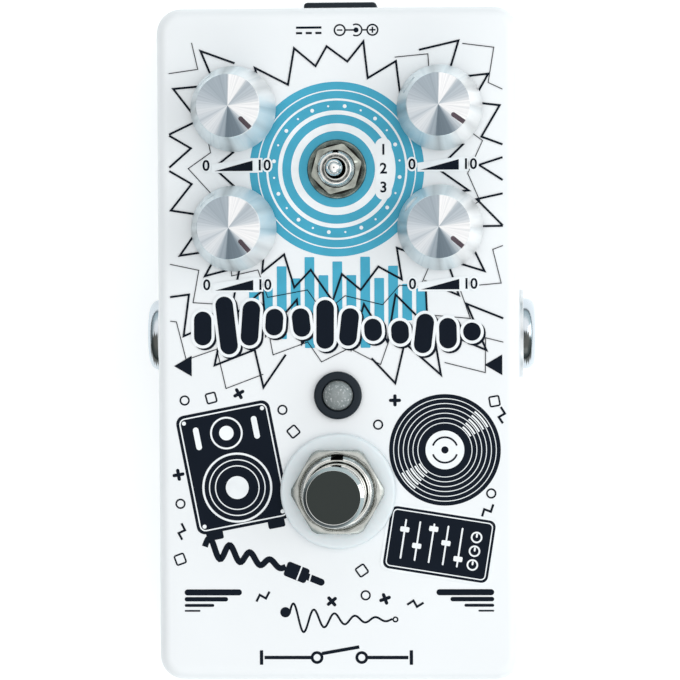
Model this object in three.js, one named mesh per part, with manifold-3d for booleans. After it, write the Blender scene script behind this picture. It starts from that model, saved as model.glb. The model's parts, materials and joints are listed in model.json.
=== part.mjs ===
// Delay pedal for a guitar: a die-cast box with four knobs, a toggle switch, a lamp and a footswitch.
// Millimetres, +Z up. The pedal stands on its rubber feet at z = 0, the power socket faces +Y,
// the input socket faces +X and the output socket faces -X.
import * as THREE from 'three';
import { mergeVertices } from 'three/addons/utils/BufferGeometryUtils.js';
import Module from 'manifold-3d';

const wasm = await Module();
wasm.setup();

// Driving dimensions of the box
const boxLength = 112;
const boxWidth = 60.5;
const boxLean = 0.75;
const shellHeight = 28.8;
const wallThickness = 2;
const roofThickness = 2.2;
const cornerRadius = 4;
const topEdgeRadius = 1.4;
const coverThickness = 2.2;
const coverEdgeRadius = 0.5;
const lipHeight = 1.6;
const lipThickness = 1.5;
const lipClearance = 0.3;

// Cover screws and the posts that take them
const postInset = 5.2;
const postRadius = 4;
const screwRadius = 1.5;
const screwHeadRadius = 3;
const screwHeadHeight = 1.5;
const screwLength = 10;
const screwClearance = 0.15;
const screwSink = 0.1;
const crossWidth = 0.8;
const crossReach = 1.7;
const crossDepth = 1;

// Rubber feet
const footRadius = 5;
const footHeight = 2.5;
const footEdge = 0.6;
const footInsetX = 11;
const footInsetY = 13;

// Places from the middle of the box, as shares of its width or its length
const knobColumnShare = 0.281;
const upperKnobRowShare = 0.3473;
const lowerKnobRowShare = 0.1714;
const toggleRowShare = 0.258;
const lampRowShare = -0.075;
const footswitchRowShare = -0.2161;
const jackRowShare = 0.0125;

// Knobs: the angles are how far the pointers stand clockwise from twelve o'clock, in degrees
const knobHeight = 11.9;
const knobLift = 0.6;
const knobSkirtRadius = 7.05;
const knobTopRadius = 5.3;
const knobTopEdge = 0.35;
const knobBottomEdge = 0.25;
const knobRecessRadius = 6.05;
const knobRecessDepth = 3;
const knobBoreDepth = 9.6;
const pointerWidth = 0.76;
const pointerDepth = 0.5;
const pointerStart = 2.6;
const feedbackAngle = 135;
const timeAngle = 125;
const mixAngle = 139;
const boostAngle = 130;

// Grub screw that holds a knob on its shaft
const grubRadius = 1.5;
const grubLength = 2.3;
const grubHeight = 6.2;
const grubClearance = 0.15;
const grubSocketRadius = 0.8;
const grubSocketDepth = 1.2;

// Potentiometers
const potWidth = 9.8;
const potLength = 11.4;
const potHeight = 6.8;
const potBushingRadius = 3.5;
const potBushingReach = 5.1;
const potShaftRadius = 3;
const potShaftSink = 2;
const potNutFlats = 10;
const potNutHeight = 2;
const potLegWidth = 1;
const potLegThickness = 0.6;
const potLegPitch = 2.5;
const shaftEndGap = 0.3;

// Clearances that several fits share
const runningClearance = 0.08;
const threadClearance = 0.1;
const holeClearance = 0.15;
const seatGap = 0.05;

// Toggle switch
const toggleWidth = 6.9;
const toggleLength = 12.7;
const toggleHeight = 8.9;
const toggleBushingRadius = 3;
const toggleBushingRise = 4.8;
const toggleBushingEdge = 0.5;
const toggleMouthRadius = 1.68;
const toggleMouthDepth = 0.9;
const toggleChamberRadius = 2.1;
const togglePivotDepth = 2.4;
const toggleBallRadius = 1.85;
const toggleTailRadius = 0.8;
const toggleTailLength = 3.2;
const toggleNeckRadius = 0.95;
const toggleTipRadius = 1.35;
const toggleTipRise = 10.5;
const toggleNutFlats = 8;
const toggleNutHeight = 1.8;
const toggleNutTurn = 15;
const toggleWasherRadius = 4.9;
const toggleWasherThickness = 0.4;
const toggleKeyWidth = 1;
const toggleKeyDepth = 0.45;
const toggleLugWidth = 1.6;
const toggleLugThickness = 0.7;
const toggleLugPitch = 4.7;

// Lamp and its bezel
const bezelRadius = 3.95;
const bezelThickness = 1.1;
const bezelEdge = 0.35;
const sleeveRadius = 3.35;
const sleeveDepth = 5;
const lampRadius = 2.5;
const lampRimRadius = 2.9;
const lampRimHeight = 1;
const lampSeatDepth = 3.4;
const lampRise = 2.8;
const lampLeadWidth = 0.5;
const lampLeadSpacing = 2.54;

// Footswitch
const switchCaseSide = 17.2;
const switchPlateThickness = 1;
const switchPlateDrop = 3.3;
const switchBushingRadius = 6;
const switchBushingRise = 5;
const switchBushingEdge = 0.5;
const switchKeyWidth = 2;
const buttonRadius = 4.97;
const buttonRise = 17.2;
const buttonEdge = 0.6;
const buttonFlangeRadius = 6.4;
const buttonFlangeThickness = 1.2;
const buttonStopGap = 0.3;
const switchChamberRadius = 7;
const switchChamberDepthShare = 0.69;
const springWireRadius = 0.4;
const springRadius = 4.4;
const springPitch = 1.52;
const nylonWasherRadius = 9.55;
const nylonWasherThickness = 1.6;
const nylonWasherEdge = 0.4;
const switchNutFlats = 14;
const switchNutHeight = 2.2;
const lockNutHeight = 2;
const switchLugWidth = 2;
const switchLugThickness = 0.8;
const switchLugPitchX = 5;
const switchLugPitchY = 4.8;

// Quarter-inch jacks
const jackBoardGap = 1.5;
const jackMiddleGap = 6.4;
const jackBodyWidth = 14;
const jackBodyHeight = 13;
const jackBodyEdge = 0.8;
const jackBushingRadius = 4.7;
const jackBoreRadius = 3.25;
const jackNutRadius = 6;
const jackNutHeight = 2;
const jackNutFaceRadius = 4.3;
const jackNutRecess = 0.3;
const jackWasherRadius = 7.45;
const jackWasherThickness = 0.5;
const contactWidth = 2.4;
const contactThickness = 0.4;
const contactStart = 5;
const contactEnd = 2.5;
const contactBumpLength = 2.4;
const contactBumpReach = 2.55;
const contactSlotClearance = 0.3;
const contactLugShare = 0.41;

// Power socket
const socketBoardGap = 0.3;
const socketFlangeWidth = 12.3;
const socketFlangeRim = 0.4;
const socketFlangeThickness = 1.9;
const socketFlangeCorner = 0.8;
const socketBodyWidth = 9;
const socketBodyHeightShare = 0.806;
const socketBodyDepth = 13;
const socketBoreRadius = 3.1;
const socketBoreDepth = 10;
const socketPinRadius = 1.05;
const socketPinLength = 8.8;
const socketPinSeat = 1.2;
const socketLegWidth = 2;

// Circuit boards and what is on them
const boardThickness = 1.6;
const mainBoardInset = 6.25;
const mainBoardEndGap = 9.5;
const mainBoardJackGap = 1.6;
const mainBoardToggleGap = 1.05;
const boardCorner = 2;
const switchBoardWidth = 30;
const switchBoardRim = 4.2;
const switchBoardLampRim = 3.4;
const switchBoardCoverGap = 3.2;
const switchBoardGap = 3;
const chipHeight = 3.3;
const chipWidth = 6.4;
const chipStandoff = 0.5;
const chipPitch = 2.54;
const chipLegWidth = 0.5;
const chipLegSpread = 7.6;
const delayChipLegs = 8;
const ampChipLegs = 4;
const delayChipOffset = new THREE.Vector2(9, 14);
const ampChipOffset = new THREE.Vector2(-10, 20);
const canRadius = 2.5;
const canHeight = 7;
const canGrooveDepth = 0.25;
const canGrooveHeight = 0.8;
const canEdge = 0.3;
const canOffsets = [new THREE.Vector2(-14, 9), new THREE.Vector2(-5, 9)];
const ribbonWidth = 8;
const ribbonThickness = 0.8;
const ribbonTopInset = 4;
const ribbonEndInset = 1.5;
const ribbonBendShare = 0.515;

// How steeply a nut's corners are turned down, as rise over run
const nutChamferSlope = 0.5;

// How finely round pieces are cut into flat sides
const wideSides = 36;
const midSides = 24;
const smallSides = 14;
const hexSides = 6;
const cornerSteps = 4;
const edgeSteps = 2;
const roundSteps = 3;
const cutOverrun = 1;

// Heights that follow from the driving dimensions
const coverTop = footHeight + coverThickness;
const lipTop = coverTop + lipHeight;
const roofTop = coverTop + shellHeight;
const roofUnder = roofTop - roofThickness;
const mainBoardTop = roofUnder - seatGap - toggleHeight - mainBoardToggleGap;
const mainBoardUnder = mainBoardTop - boardThickness;
const switchBoardTop = coverTop + switchBoardCoverGap + boardThickness;
const switchCaseBottom = switchBoardTop + switchBoardGap;
const switchPlateTop = roofUnder - switchPlateDrop;
const switchCaseTop = switchPlateTop - switchPlateThickness;
const switchChamberDepth = (switchCaseTop - switchCaseBottom) * switchChamberDepthShare;
const jackHeight = switchBoardTop + jackBoardGap + jackBodyHeight / 2;
const socketBodyHeight = (mainBoardUnder - lipTop) * socketBodyHeightShare;
const socketFlangeHeight = socketBodyHeight + 2 * socketFlangeRim;
const socketHeight = mainBoardUnder - socketBoardGap - socketBodyHeight / 2;

// Places in plan that follow from the driving dimensions
const knobColumn = boxWidth * knobColumnShare;
const upperKnobRow = boxLength * upperKnobRowShare;
const lowerKnobRow = boxLength * lowerKnobRowShare;
const toggleRow = boxLength * toggleRowShare;
const lampRow = boxLength * lampRowShare;
const footswitchRow = boxLength * footswitchRowShare;
const jackRow = boxLength * jackRowShare;
const mainBoardWidth = boxWidth - 2 * mainBoardInset;
const mainBoardNearEdge = jackRow + jackBodyWidth / 2 + mainBoardJackGap;
const mainBoardFarEdge = boxLength / 2 - mainBoardEndGap;
const switchBoardNearEdge = footswitchRow - switchCaseSide / 2 - switchBoardRim;
const switchBoardFarEdge = lampRow + switchBoardLampRim;
const ribbonTopRow = mainBoardNearEdge + ribbonTopInset;
const ribbonEndRow = switchBoardFarEdge - ribbonEndInset;

// Colours of the real pedal
function finish(color, roughness, metalness) {
  return new THREE.MeshStandardMaterial({ color, roughness, metalness });
}
const paint = finish(0xeef3f6, 0.35, 0);
const aluminium = finish(0xc9cfd2, 0.25, 1);
const nickel = finish(0xc8c6c0, 0.2, 1);
const steel = finish(0x9a9c9e, 0.4, 1);
const brass = finish(0xb99a5b, 0.35, 1);
const rubber = finish(0x1b1c1e, 0.9, 0);
const nylon = finish(0xe9eff0, 0.5, 0);
const blackPlastic = finish(0x1d2329, 0.5, 0);
const bluePlastic = finish(0x24508c, 0.5, 0);
const clearPlastic = finish(0x9fb0b2, 0.1, 0);
const greenBoard = finish(0x1f5a3a, 0.6, 0);
const cableGrey = finish(0x8e9296, 0.7, 0);

// Solids: a closed mesh whose shared corners are merged, with its faces pointing out
function solid(shape) {
  if (!(shape instanceof THREE.BufferGeometry)) return shape;
  const bare = new THREE.BufferGeometry();
  bare.setAttribute('position', shape.getAttribute('position').clone());
  if (shape.index) bare.setIndex(shape.index.clone());
  const merged = mergeVertices(bare);
  const vertProperties = new Float32Array(merged.getAttribute('position').array);
  const corners = merged.index.array;
  const triangles = [];
  for (let i = 0; i < corners.length; i += 3) {
    const [a, b, c] = [corners[i], corners[i + 1], corners[i + 2]];
    if (a !== b && b !== c && c !== a) triangles.push([a, b, c]);
  }
  const point = (i) => new THREE.Vector3().fromArray(vertProperties, 3 * i);
  const volume = triangles.reduce((sum, [a, b, c]) => sum + point(a).dot(point(b).cross(point(c))), 0);
  const outward = triangles.map(([a, b, c]) => (volume > 0 ? [a, b, c] : [a, c, b]));
  const triVerts = new Uint32Array(outward.flat());
  return new wasm.Manifold(new wasm.Mesh({ numProp: 3, vertProperties, triVerts }));
}

const join = (first, ...others) => others.reduce((whole, other) => whole.add(solid(other)), solid(first));
const cut = (body, ...tools) => tools.reduce((rest, tool) => rest.subtract(solid(tool)), solid(body));
const common = (first, second) => solid(first).intersect(solid(second));

function piece(name, shape, material) {
  const mesh = solid(shape).getMesh();
  const geometry = new THREE.BufferGeometry();
  geometry.setAttribute('position', new THREE.BufferAttribute(new Float32Array(mesh.vertProperties), 3));
  geometry.setIndex(new THREE.BufferAttribute(new Uint32Array(mesh.triVerts), 1));
  geometry.computeVertexNormals();
  const result = new THREE.Mesh(geometry, material);
  result.name = name;
  return result;
}

// A hole is drawn around its circle and a shaft inside its circle, so the flat sides never touch
const holeRadius = (radius, sides) => radius / Math.cos(Math.PI / sides);

function lathe(profile, sides) {
  const points = profile.map(([radius, height]) => new THREE.Vector2(radius, height));
  return new THREE.LatheGeometry(points, sides).rotateX(Math.PI / 2);
}

function rod(radius, low, high, sides) {
  return lathe([[0, low], [radius, low], [radius, high], [0, high]], sides);
}

function holeCutter(radius, low, high, sides) {
  return rod(holeRadius(radius, sides), low, high, sides);
}

// A ring with a rectangular section, such as a plain washer
function ring(outer, inner, low, high, sides) {
  const bore = holeRadius(inner, sides);
  return lathe([[bore, low], [outer, low], [outer, high], [bore, high], [bore, low]], sides);
}

function block(width, length, low, high) {
  return new THREE.BoxGeometry(width, length, high - low).translate(0, 0, (low + high) / 2);
}

// Points of a quarter circle as [across, up] pairs, from the side of an edge to its flat top
function edgeArc(radius, steps = edgeSteps) {
  return Array.from({ length: steps + 1 }, (_, step) => {
    const turn = (step / steps) * (Math.PI / 2);
    return [radius * (1 - Math.cos(turn)), radius * Math.sin(turn)];
  });
}

// One level of a box with round corners
function boxLevel(width, length, radius, height) {
  const level = [];
  const centres = [[1, 1], [-1, 1], [-1, -1], [1, -1]];
  centres.forEach(([sideX, sideY], quarter) => {
    for (let step = 0; step <= cornerSteps; step += 1) {
      const turn = (quarter + step / cornerSteps) * (Math.PI / 2);
      const x = sideX * (width / 2 - radius) + radius * Math.cos(turn);
      const y = sideY * (length / 2 - radius) + radius * Math.sin(turn);
      level.push([x, y, height]);
    }
  });
  return level;
}

// A closed skin over levels that all have the same number of points
function loft(levels) {
  const count = levels[0].length;
  const middle = (level) => [0, 0, level[0][2]];
  const positions = [...levels.flat(), middle(levels[0]), middle(levels.at(-1))];
  const bottom = positions.length - 2;
  const top = positions.length - 1;
  const lastRow = (levels.length - 1) * count;
  const index = [];
  for (let i = 0; i < count; i += 1) {
    const next = (i + 1) % count;
    index.push(bottom, next, i, top, lastRow + i, lastRow + next);
    for (let row = 0; row < lastRow; row += count) {
      index.push(row + i, row + next, row + count + next, row + i, row + count + next, row + count + i);
    }
  }
  const geometry = new THREE.BufferGeometry();
  geometry.setAttribute('position', new THREE.Float32BufferAttribute(positions.flat(), 3));
  geometry.setIndex(index);
  return geometry;
}

function prism(outline, depth) {
  const shape = new THREE.Shape(outline.map(([x, y]) => new THREE.Vector2(x, y)));
  return new THREE.ExtrudeGeometry(shape, { depth, bevelEnabled: false });
}

// A six-sided nut whose corners are turned down on its upper side
function hexNut(flats, height, boreRadius, low) {
  const cornerReach = flats / Math.sqrt(3);
  const chamfer = cornerReach - flats / 2;
  const outline = Array.from({ length: hexSides }, (_, corner) => {
    const turn = (corner / hexSides) * 2 * Math.PI;
    return [cornerReach * Math.cos(turn), cornerReach * Math.sin(turn)];
  });
  const crown = lathe([
    [0, low],
    [cornerReach + cutOverrun, low],
    [cornerReach + cutOverrun, low + height - (chamfer + cutOverrun) * nutChamferSlope],
    [flats / 2, low + height],
    [0, low + height],
  ], midSides);
  const hex = prism(outline, height).translate(0, 0, low);
  const bore = holeCutter(boreRadius, low - cutOverrun, low + height + cutOverrun, midSides);
  return cut(common(hex, crown), bore);
}

// The box, which leans in from its open rim to its roof
const leanAt = (height) => (boxLean * (height - coverTop)) / shellHeight;
const wallFaceX = (height) => boxWidth / 2 - leanAt(height);
const wallFaceY = (height) => boxLength / 2 - leanAt(height);
const postPlaces = [[1, 1], [-1, 1], [-1, -1], [1, -1]].map(([sideX, sideY]) => [
  sideX * (boxWidth / 2 - postInset),
  sideY * (boxLength / 2 - postInset),
]);
const knobPlaces = {
  feedback: [-knobColumn, upperKnobRow, feedbackAngle],
  time: [knobColumn, upperKnobRow, timeAngle],
  mix: [-knobColumn, lowerKnobRow, mixAngle],
  boost: [knobColumn, lowerKnobRow, boostAngle],
};

function boxSkin() {
  const side = (height, inset) => {
    const shrink = 2 * (leanAt(height) + inset);
    return boxLevel(boxWidth - shrink, boxLength - shrink, cornerRadius - inset, height);
  };
  const edgeLow = roofTop - topEdgeRadius;
  const edge = edgeArc(topEdgeRadius, roundSteps).map(([across, up]) => side(edgeLow + up, across));
  return loft([side(coverTop, 0), ...edge]);
}

function boxHollow(low, high, inset) {
  const level = (height) => {
    const shrink = 2 * (leanAt(height) + wallThickness + inset);
    return boxLevel(boxWidth - shrink, boxLength - shrink, cornerRadius - wallThickness, height);
  };
  return loft([level(low), level(high)]);
}

function makeEnclosure() {
  const posts = postPlaces.map(([x, y]) => {
    return rod(postRadius, coverTop, roofTop - topEdgeRadius, smallSides).translate(x, y, 0);
  });
  const hollow = cut(boxHollow(coverTop - cutOverrun, roofUnder, 0), ...posts);
  const throughRoof = (radius, x, y) => {
    return holeCutter(radius, roofUnder - cutOverrun, roofTop + cutOverrun, midSides).translate(x, y, 0);
  };
  const throughWall = (side) => {
    const hole = holeCutter(jackBushingRadius + holeClearance, 0, boxWidth / 2 + cutOverrun, midSides);
    return hole.rotateY((side * Math.PI) / 2).translate(0, jackRow, jackHeight);
  };
  const socketHole = block(
    socketBodyWidth + 2 * holeClearance,
    wallThickness + 2 * cutOverrun,
    socketHeight - socketBodyHeight / 2 - holeClearance,
    socketHeight + socketBodyHeight / 2 + holeClearance,
  ).translate(0, wallFaceY(socketHeight) - wallThickness / 2, 0);
  const screwHoles = postPlaces.map(([x, y]) => {
    const low = coverTop - cutOverrun;
    const hole = holeCutter(screwRadius + threadClearance, low, coverTop + screwLength, smallSides);
    return hole.translate(x, y, 0);
  });
  return cut(
    boxSkin(),
    hollow,
    ...screwHoles,
    ...Object.values(knobPlaces).map(([x, y]) => throughRoof(potBushingRadius + holeClearance, x, y)),
    throughRoof(toggleBushingRadius + holeClearance, 0, toggleRow),
    throughRoof(sleeveRadius + holeClearance, 0, lampRow),
    throughRoof(switchBushingRadius + holeClearance, 0, footswitchRow),
    throughWall(1),
    throughWall(-1),
    socketHole,
  );
}

// The cover: a flat plate with a lip that drops into the box between the posts
function makeCover() {
  const edge = edgeArc(coverEdgeRadius).reverse();
  const levels = edge.map(([across, up]) => {
    const height = footHeight + coverEdgeRadius - up;
    return boxLevel(boxWidth - 2 * across, boxLength - 2 * across, cornerRadius - across, height);
  });
  const plate = loft([...levels, boxLevel(boxWidth, boxLength, cornerRadius, coverTop)]);
  const lip = cut(
    boxHollow(coverTop - coverEdgeRadius, lipTop, lipClearance),
    boxHollow(coverTop - cutOverrun, lipTop + cutOverrun, lipClearance + lipThickness),
    ...postPlaces.map(([x, y]) => {
      return rod(postRadius + lipClearance, coverTop, lipTop + cutOverrun, smallSides).translate(x, y, 0);
    }),
  );
  const countersinks = postPlaces.map(([x, y]) => countersink().translate(x, y, 0));
  return cut(join(plate, lip), ...countersinks);
}

function countersink() {
  const shank = holeRadius(screwRadius + screwClearance, smallSides);
  const head = holeRadius(screwHeadRadius + screwClearance, smallSides);
  const coneTop = footHeight + screwSink + screwHeadHeight;
  return lathe([
    [0, footHeight - cutOverrun],
    [head, footHeight - cutOverrun],
    [head, footHeight + screwSink],
    [shank, coneTop],
    [shank, coverTop + cutOverrun],
    [0, coverTop + cutOverrun],
  ], smallSides);
}

function makeCoverScrew() {
  const face = footHeight + screwSink;
  const body = lathe([
    [0, face],
    [screwHeadRadius, face],
    [screwRadius, face + screwHeadHeight],
    [screwRadius, face + screwLength],
    [0, face + screwLength],
  ], smallSides);
  const slot = (width, length) => block(width, length, face - cutOverrun, face + crossDepth);
  return cut(body, join(slot(crossWidth, 2 * crossReach), slot(2 * crossReach, crossWidth)));
}

function makeFoot() {
  return lathe([
    [0, 0],
    [footRadius - footEdge, 0],
    [footRadius, footEdge],
    [footRadius, footHeight],
    [0, footHeight],
  ], midSides);
}

function addBox(pedal) {
  pedal.add(piece('enclosure', makeEnclosure(), paint));
  pedal.add(piece('bottom_cover', makeCover(), paint));
  const footX = boxWidth / 2 - footInsetX;
  const footY = boxLength / 2 - footInsetY;
  postPlaces.forEach(([x, y], i) => {
    const screw = piece(`cover_screw_${i + 1}`, makeCoverScrew(), steel);
    screw.position.set(x, y, 0);
    const foot = piece(`foot_${i + 1}`, makeFoot(), rubber);
    foot.position.set(Math.sign(x) * footX, Math.sign(y) * footY, 0);
    pedal.add(screw, foot);
  });
}

// A knob, with its recess over the nut, its bore, its pointer groove and the hole for its grub screw
function makeKnob() {
  const bore = holeRadius(potShaftRadius + runningClearance, wideSides);
  const recess = holeRadius(knobRecessRadius, wideSides);
  const topEdge = edgeArc(knobTopEdge).map(([across, up]) => {
    return [knobTopRadius - across, knobHeight - knobTopEdge + up];
  });
  const body = lathe([
    [0, knobBoreDepth],
    [bore, knobBoreDepth],
    [bore, knobRecessDepth],
    [recess, knobRecessDepth],
    [recess, 0],
    [knobSkirtRadius - knobBottomEdge, 0],
    [knobSkirtRadius, knobBottomEdge],
    ...topEdge,
    [0, knobHeight],
  ], wideSides);
  const groove = block(pointerWidth, knobTopRadius, knobHeight - pointerDepth, knobHeight + cutOverrun);
  groove.translate(0, pointerStart + knobTopRadius / 2, 0);
  const grubHole = holeCutter(grubRadius + grubClearance, 0, knobSkirtRadius, smallSides);
  return cut(body, groove, grubHole.rotateX(Math.PI / 2).translate(0, 0, grubHeight));
}

function makeGrubScrew() {
  const start = potShaftRadius + runningClearance;
  const end = start + grubLength;
  const toSide = (shape) => shape.rotateX(Math.PI / 2).translate(0, 0, grubHeight);
  const body = rod(grubRadius, start, end, smallSides);
  const socket = rod(grubSocketRadius, end - grubSocketDepth, end + cutOverrun, hexSides);
  return cut(toSide(body), toSide(socket));
}

// A potentiometer: a case with a threaded bushing through the roof and legs down to the board
function makePot() {
  const top = roofUnder - seatGap;
  const bushingTop = top + potBushingReach;
  const body = block(potWidth, potLength, top - potHeight, top);
  const bushing = rod(potBushingRadius, top - potHeight / 2, bushingTop, midSides);
  const boreRadius = potShaftRadius + runningClearance;
  const bore = holeCutter(boreRadius, top - potShaftSink, bushingTop + cutOverrun, midSides);
  const legs = [-1, 0, 1].map((place) => {
    const leg = block(potLegWidth, potLegThickness, mainBoardTop, top - potHeight / 2);
    return leg.translate(place * potLegPitch, -potLength / 2, 0);
  });
  const brackets = [-1, 1].map((side) => {
    const bracket = block(potLegThickness, potLegWidth, mainBoardTop, top - potHeight / 2);
    return bracket.translate((side * potWidth) / 2, 0, 0);
  });
  return cut(join(body, bushing, ...legs, ...brackets), bore);
}

function addControl(pedal, name, [x, y, angle]) {
  const shaftLow = roofUnder - potShaftSink;
  const knobLow = roofTop + knobLift;
  const control = new THREE.Group();
  control.position.set(x, y, 0);
  const nut = hexNut(potNutFlats, potNutHeight, potBushingRadius + threadClearance, roofTop);
  control.add(piece(`${name}_pot`, makePot(), bluePlastic), piece(`${name}_pot_nut`, nut, nickel));
  const turning = new THREE.Group();
  turning.rotation.z = THREE.MathUtils.degToRad(-angle);
  const shaft = rod(potShaftRadius, shaftLow, knobLow + knobBoreDepth - shaftEndGap, midSides);
  turning.add(piece(`${name}_shaft`, shaft, steel));
  const knob = piece(`${name}_knob`, makeKnob(), aluminium);
  const grub = piece(`${name}_grub_screw`, makeGrubScrew(), steel);
  knob.position.z = knobLow;
  grub.position.z = knobLow;
  turning.add(knob, grub);
  control.add(turning);
  pedal.add(control);
}

// The toggle switch: a case, a bushing whose chamber holds the lever's ball, and the lever
function makeToggleCase() {
  const top = roofUnder - seatGap;
  const bushingTop = roofTop + toggleBushingRise;
  const mouthLow = bushingTop - toggleMouthDepth;
  const tailRoom = bushingTop - togglePivotDepth - toggleTailLength - shaftEndGap;
  const edge = edgeArc(toggleBushingEdge).map(([across, up]) => {
    return [toggleBushingRadius - across, bushingTop - toggleBushingEdge + up];
  });
  const body = block(toggleWidth, toggleLength, top - toggleHeight, top);
  const mouth = holeRadius(toggleMouthRadius, midSides);
  const bushing = lathe([
    [0, top - toggleHeight / 2],
    [toggleBushingRadius, top - toggleHeight / 2],
    ...edge,
    [mouth, bushingTop],
    [mouth, mouthLow],
    [0, mouthLow],
  ], midSides);
  const chamber = holeCutter(toggleChamberRadius, tailRoom, mouthLow + seatGap, midSides);
  const keyLow = roofTop + toggleWasherThickness;
  const keyway = block(toggleKeyWidth, toggleKeyDepth, keyLow, bushingTop + cutOverrun);
  keyway.translate(0, toggleBushingRadius - toggleKeyDepth / 2 + seatGap, 0);
  const lugs = [-1, 0, 1].map((place) => {
    const lug = block(toggleLugWidth, toggleLugThickness, mainBoardTop, top - toggleHeight / 2);
    return lug.translate(0, place * toggleLugPitch, 0);
  });
  return cut(join(body, bushing, ...lugs), chamber, keyway);
}

function makeToggleLever() {
  const pivot = roofTop + toggleBushingRise - togglePivotDepth;
  const tip = roofTop + toggleTipRise;
  const ballTurn = (reach) => Math.asin(reach / toggleBallRadius);
  const tailTurn = ballTurn(toggleTailRadius);
  const neckTurn = Math.PI - ballTurn(toggleNeckRadius);
  const ball = Array.from({ length: smallSides / 2 + 1 }, (_, step) => {
    const turn = tailTurn + ((neckTurn - tailTurn) * step) / (smallSides / 2);
    return [toggleBallRadius * Math.sin(turn), pivot - toggleBallRadius * Math.cos(turn)];
  });
  const crown = Array.from({ length: roundSteps + 1 }, (_, step) => {
    const turn = (step / roundSteps) * (Math.PI / 2);
    return [toggleTipRadius * Math.cos(turn), tip - toggleTipRadius + toggleTipRadius * Math.sin(turn)];
  });
  crown.at(-1)[0] = 0;
  return lathe([
    [0, pivot - toggleTailLength],
    [toggleTailRadius, pivot - toggleTailLength],
    ...ball,
    [toggleNeckRadius, pivot + togglePivotDepth],
    ...crown,
  ], smallSides);
}

function addToggle(pedal) {
  const toggle = new THREE.Group();
  toggle.position.set(0, toggleRow, 0);
  const washerTop = roofTop + toggleWasherThickness;
  const washer = ring(toggleWasherRadius, toggleBushingRadius + holeClearance, roofTop, washerTop, midSides);
  const nut = hexNut(toggleNutFlats, toggleNutHeight, toggleBushingRadius + threadClearance, washerTop);
  const turnedNut = piece('toggle_nut', nut, nickel);
  turnedNut.rotation.z = THREE.MathUtils.degToRad(toggleNutTurn);
  toggle.add(
    piece('toggle_case', makeToggleCase(), nickel),
    piece('toggle_lever', makeToggleLever(), nickel),
    piece('toggle_washer', washer, nickel),
    turnedNut,
  );
  pedal.add(toggle);
}

// The lamp sits in a bezel and its two leads run down to the switch board
function makeLamp() {
  const seat = roofTop - lampSeatDepth;
  const tip = roofTop + lampRise;
  const dome = Array.from({ length: roundSteps + 1 }, (_, step) => {
    const turn = (step / roundSteps) * (Math.PI / 2);
    return [lampRadius * Math.cos(turn), tip - lampRadius + lampRadius * Math.sin(turn)];
  });
  dome.at(-1)[0] = 0;
  const body = lathe([
    [0, seat - lampRimHeight],
    [lampRimRadius, seat - lampRimHeight],
    [lampRimRadius, seat],
    [lampRadius, seat],
    ...dome,
  ], midSides);
  const leads = [-1, 1].map((side) => {
    const lead = block(lampLeadWidth, lampLeadWidth, switchBoardTop, seat);
    return lead.translate((side * lampLeadSpacing) / 2, 0, 0);
  });
  return join(body, ...leads);
}

function makeBezel() {
  const top = roofTop + bezelThickness;
  const seat = roofTop - lampSeatDepth;
  const sleeveLow = roofTop - sleeveDepth;
  const bore = holeRadius(lampRadius + runningClearance, midSides);
  const seatBore = holeRadius(lampRimRadius + runningClearance, midSides);
  const edge = edgeArc(bezelEdge).map(([across, up]) => [bezelRadius - across, top - bezelEdge + up]);
  return lathe([
    [bore, seat + seatGap],
    [seatBore, seat + seatGap],
    [seatBore, sleeveLow],
    [sleeveRadius, sleeveLow],
    [sleeveRadius, roofTop],
    [bezelRadius, roofTop],
    ...edge,
    [bore, top],
    [bore, seat + seatGap],
  ], midSides);
}

function addLamp(pedal) {
  const lamp = piece('lamp', makeLamp(), clearPlastic);
  const bezel = piece('lamp_bezel', makeBezel(), blackPlastic);
  lamp.position.y = lampRow;
  bezel.position.y = lampRow;
  pedal.add(lamp, bezel);
}

// The footswitch: a plastic case with lugs, a metal bushing on a plate, the button and its spring
function makeSwitchCase() {
  const body = block(switchCaseSide, switchCaseSide, switchCaseBottom, switchCaseTop);
  const chamberLow = switchCaseTop - switchChamberDepth;
  const chamber = holeCutter(switchChamberRadius, chamberLow, switchCaseTop + cutOverrun, midSides);
  const lugs = [-1, 0, 1].flatMap((column) => [-1, 0, 1].map((row) => {
    const lug = block(switchLugWidth, switchLugThickness, switchBoardTop, switchCaseBottom + seatGap);
    return lug.translate(column * switchLugPitchX, row * switchLugPitchY, 0);
  }));
  return join(cut(body, chamber), ...lugs);
}

function makeSwitchBushing() {
  const top = roofTop + switchBushingRise;
  const plate = block(switchCaseSide, switchCaseSide, switchCaseTop, switchPlateTop);
  const edge = edgeArc(switchBushingEdge).map(([across, up]) => {
    return [switchBushingRadius - across, top - switchBushingEdge + up];
  });
  const foot = [[0, switchCaseTop], [switchBushingRadius, switchCaseTop]];
  const tube = lathe([...foot, ...edge, [0, top]], wideSides);
  const boreRadius = buttonRadius + runningClearance;
  const bore = holeCutter(boreRadius, switchCaseTop - cutOverrun, top + cutOverrun, wideSides);
  const keyway = block(switchKeyWidth, switchBushingRadius, roofTop + nylonWasherThickness, top + cutOverrun);
  return cut(join(plate, tube), bore, keyway.translate(0, buttonRadius + switchBushingRadius / 2, 0));
}

function makeButton() {
  const top = roofTop + buttonRise;
  const flangeTop = switchCaseTop - buttonStopGap;
  const edge = edgeArc(buttonEdge).map(([across, up]) => [buttonRadius - across, top - buttonEdge + up]);
  return lathe([
    [0, flangeTop - buttonFlangeThickness],
    [buttonFlangeRadius, flangeTop - buttonFlangeThickness],
    [buttonFlangeRadius, flangeTop],
    [buttonRadius, flangeTop],
    ...edge,
    [0, top],
  ], wideSides);
}

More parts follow.
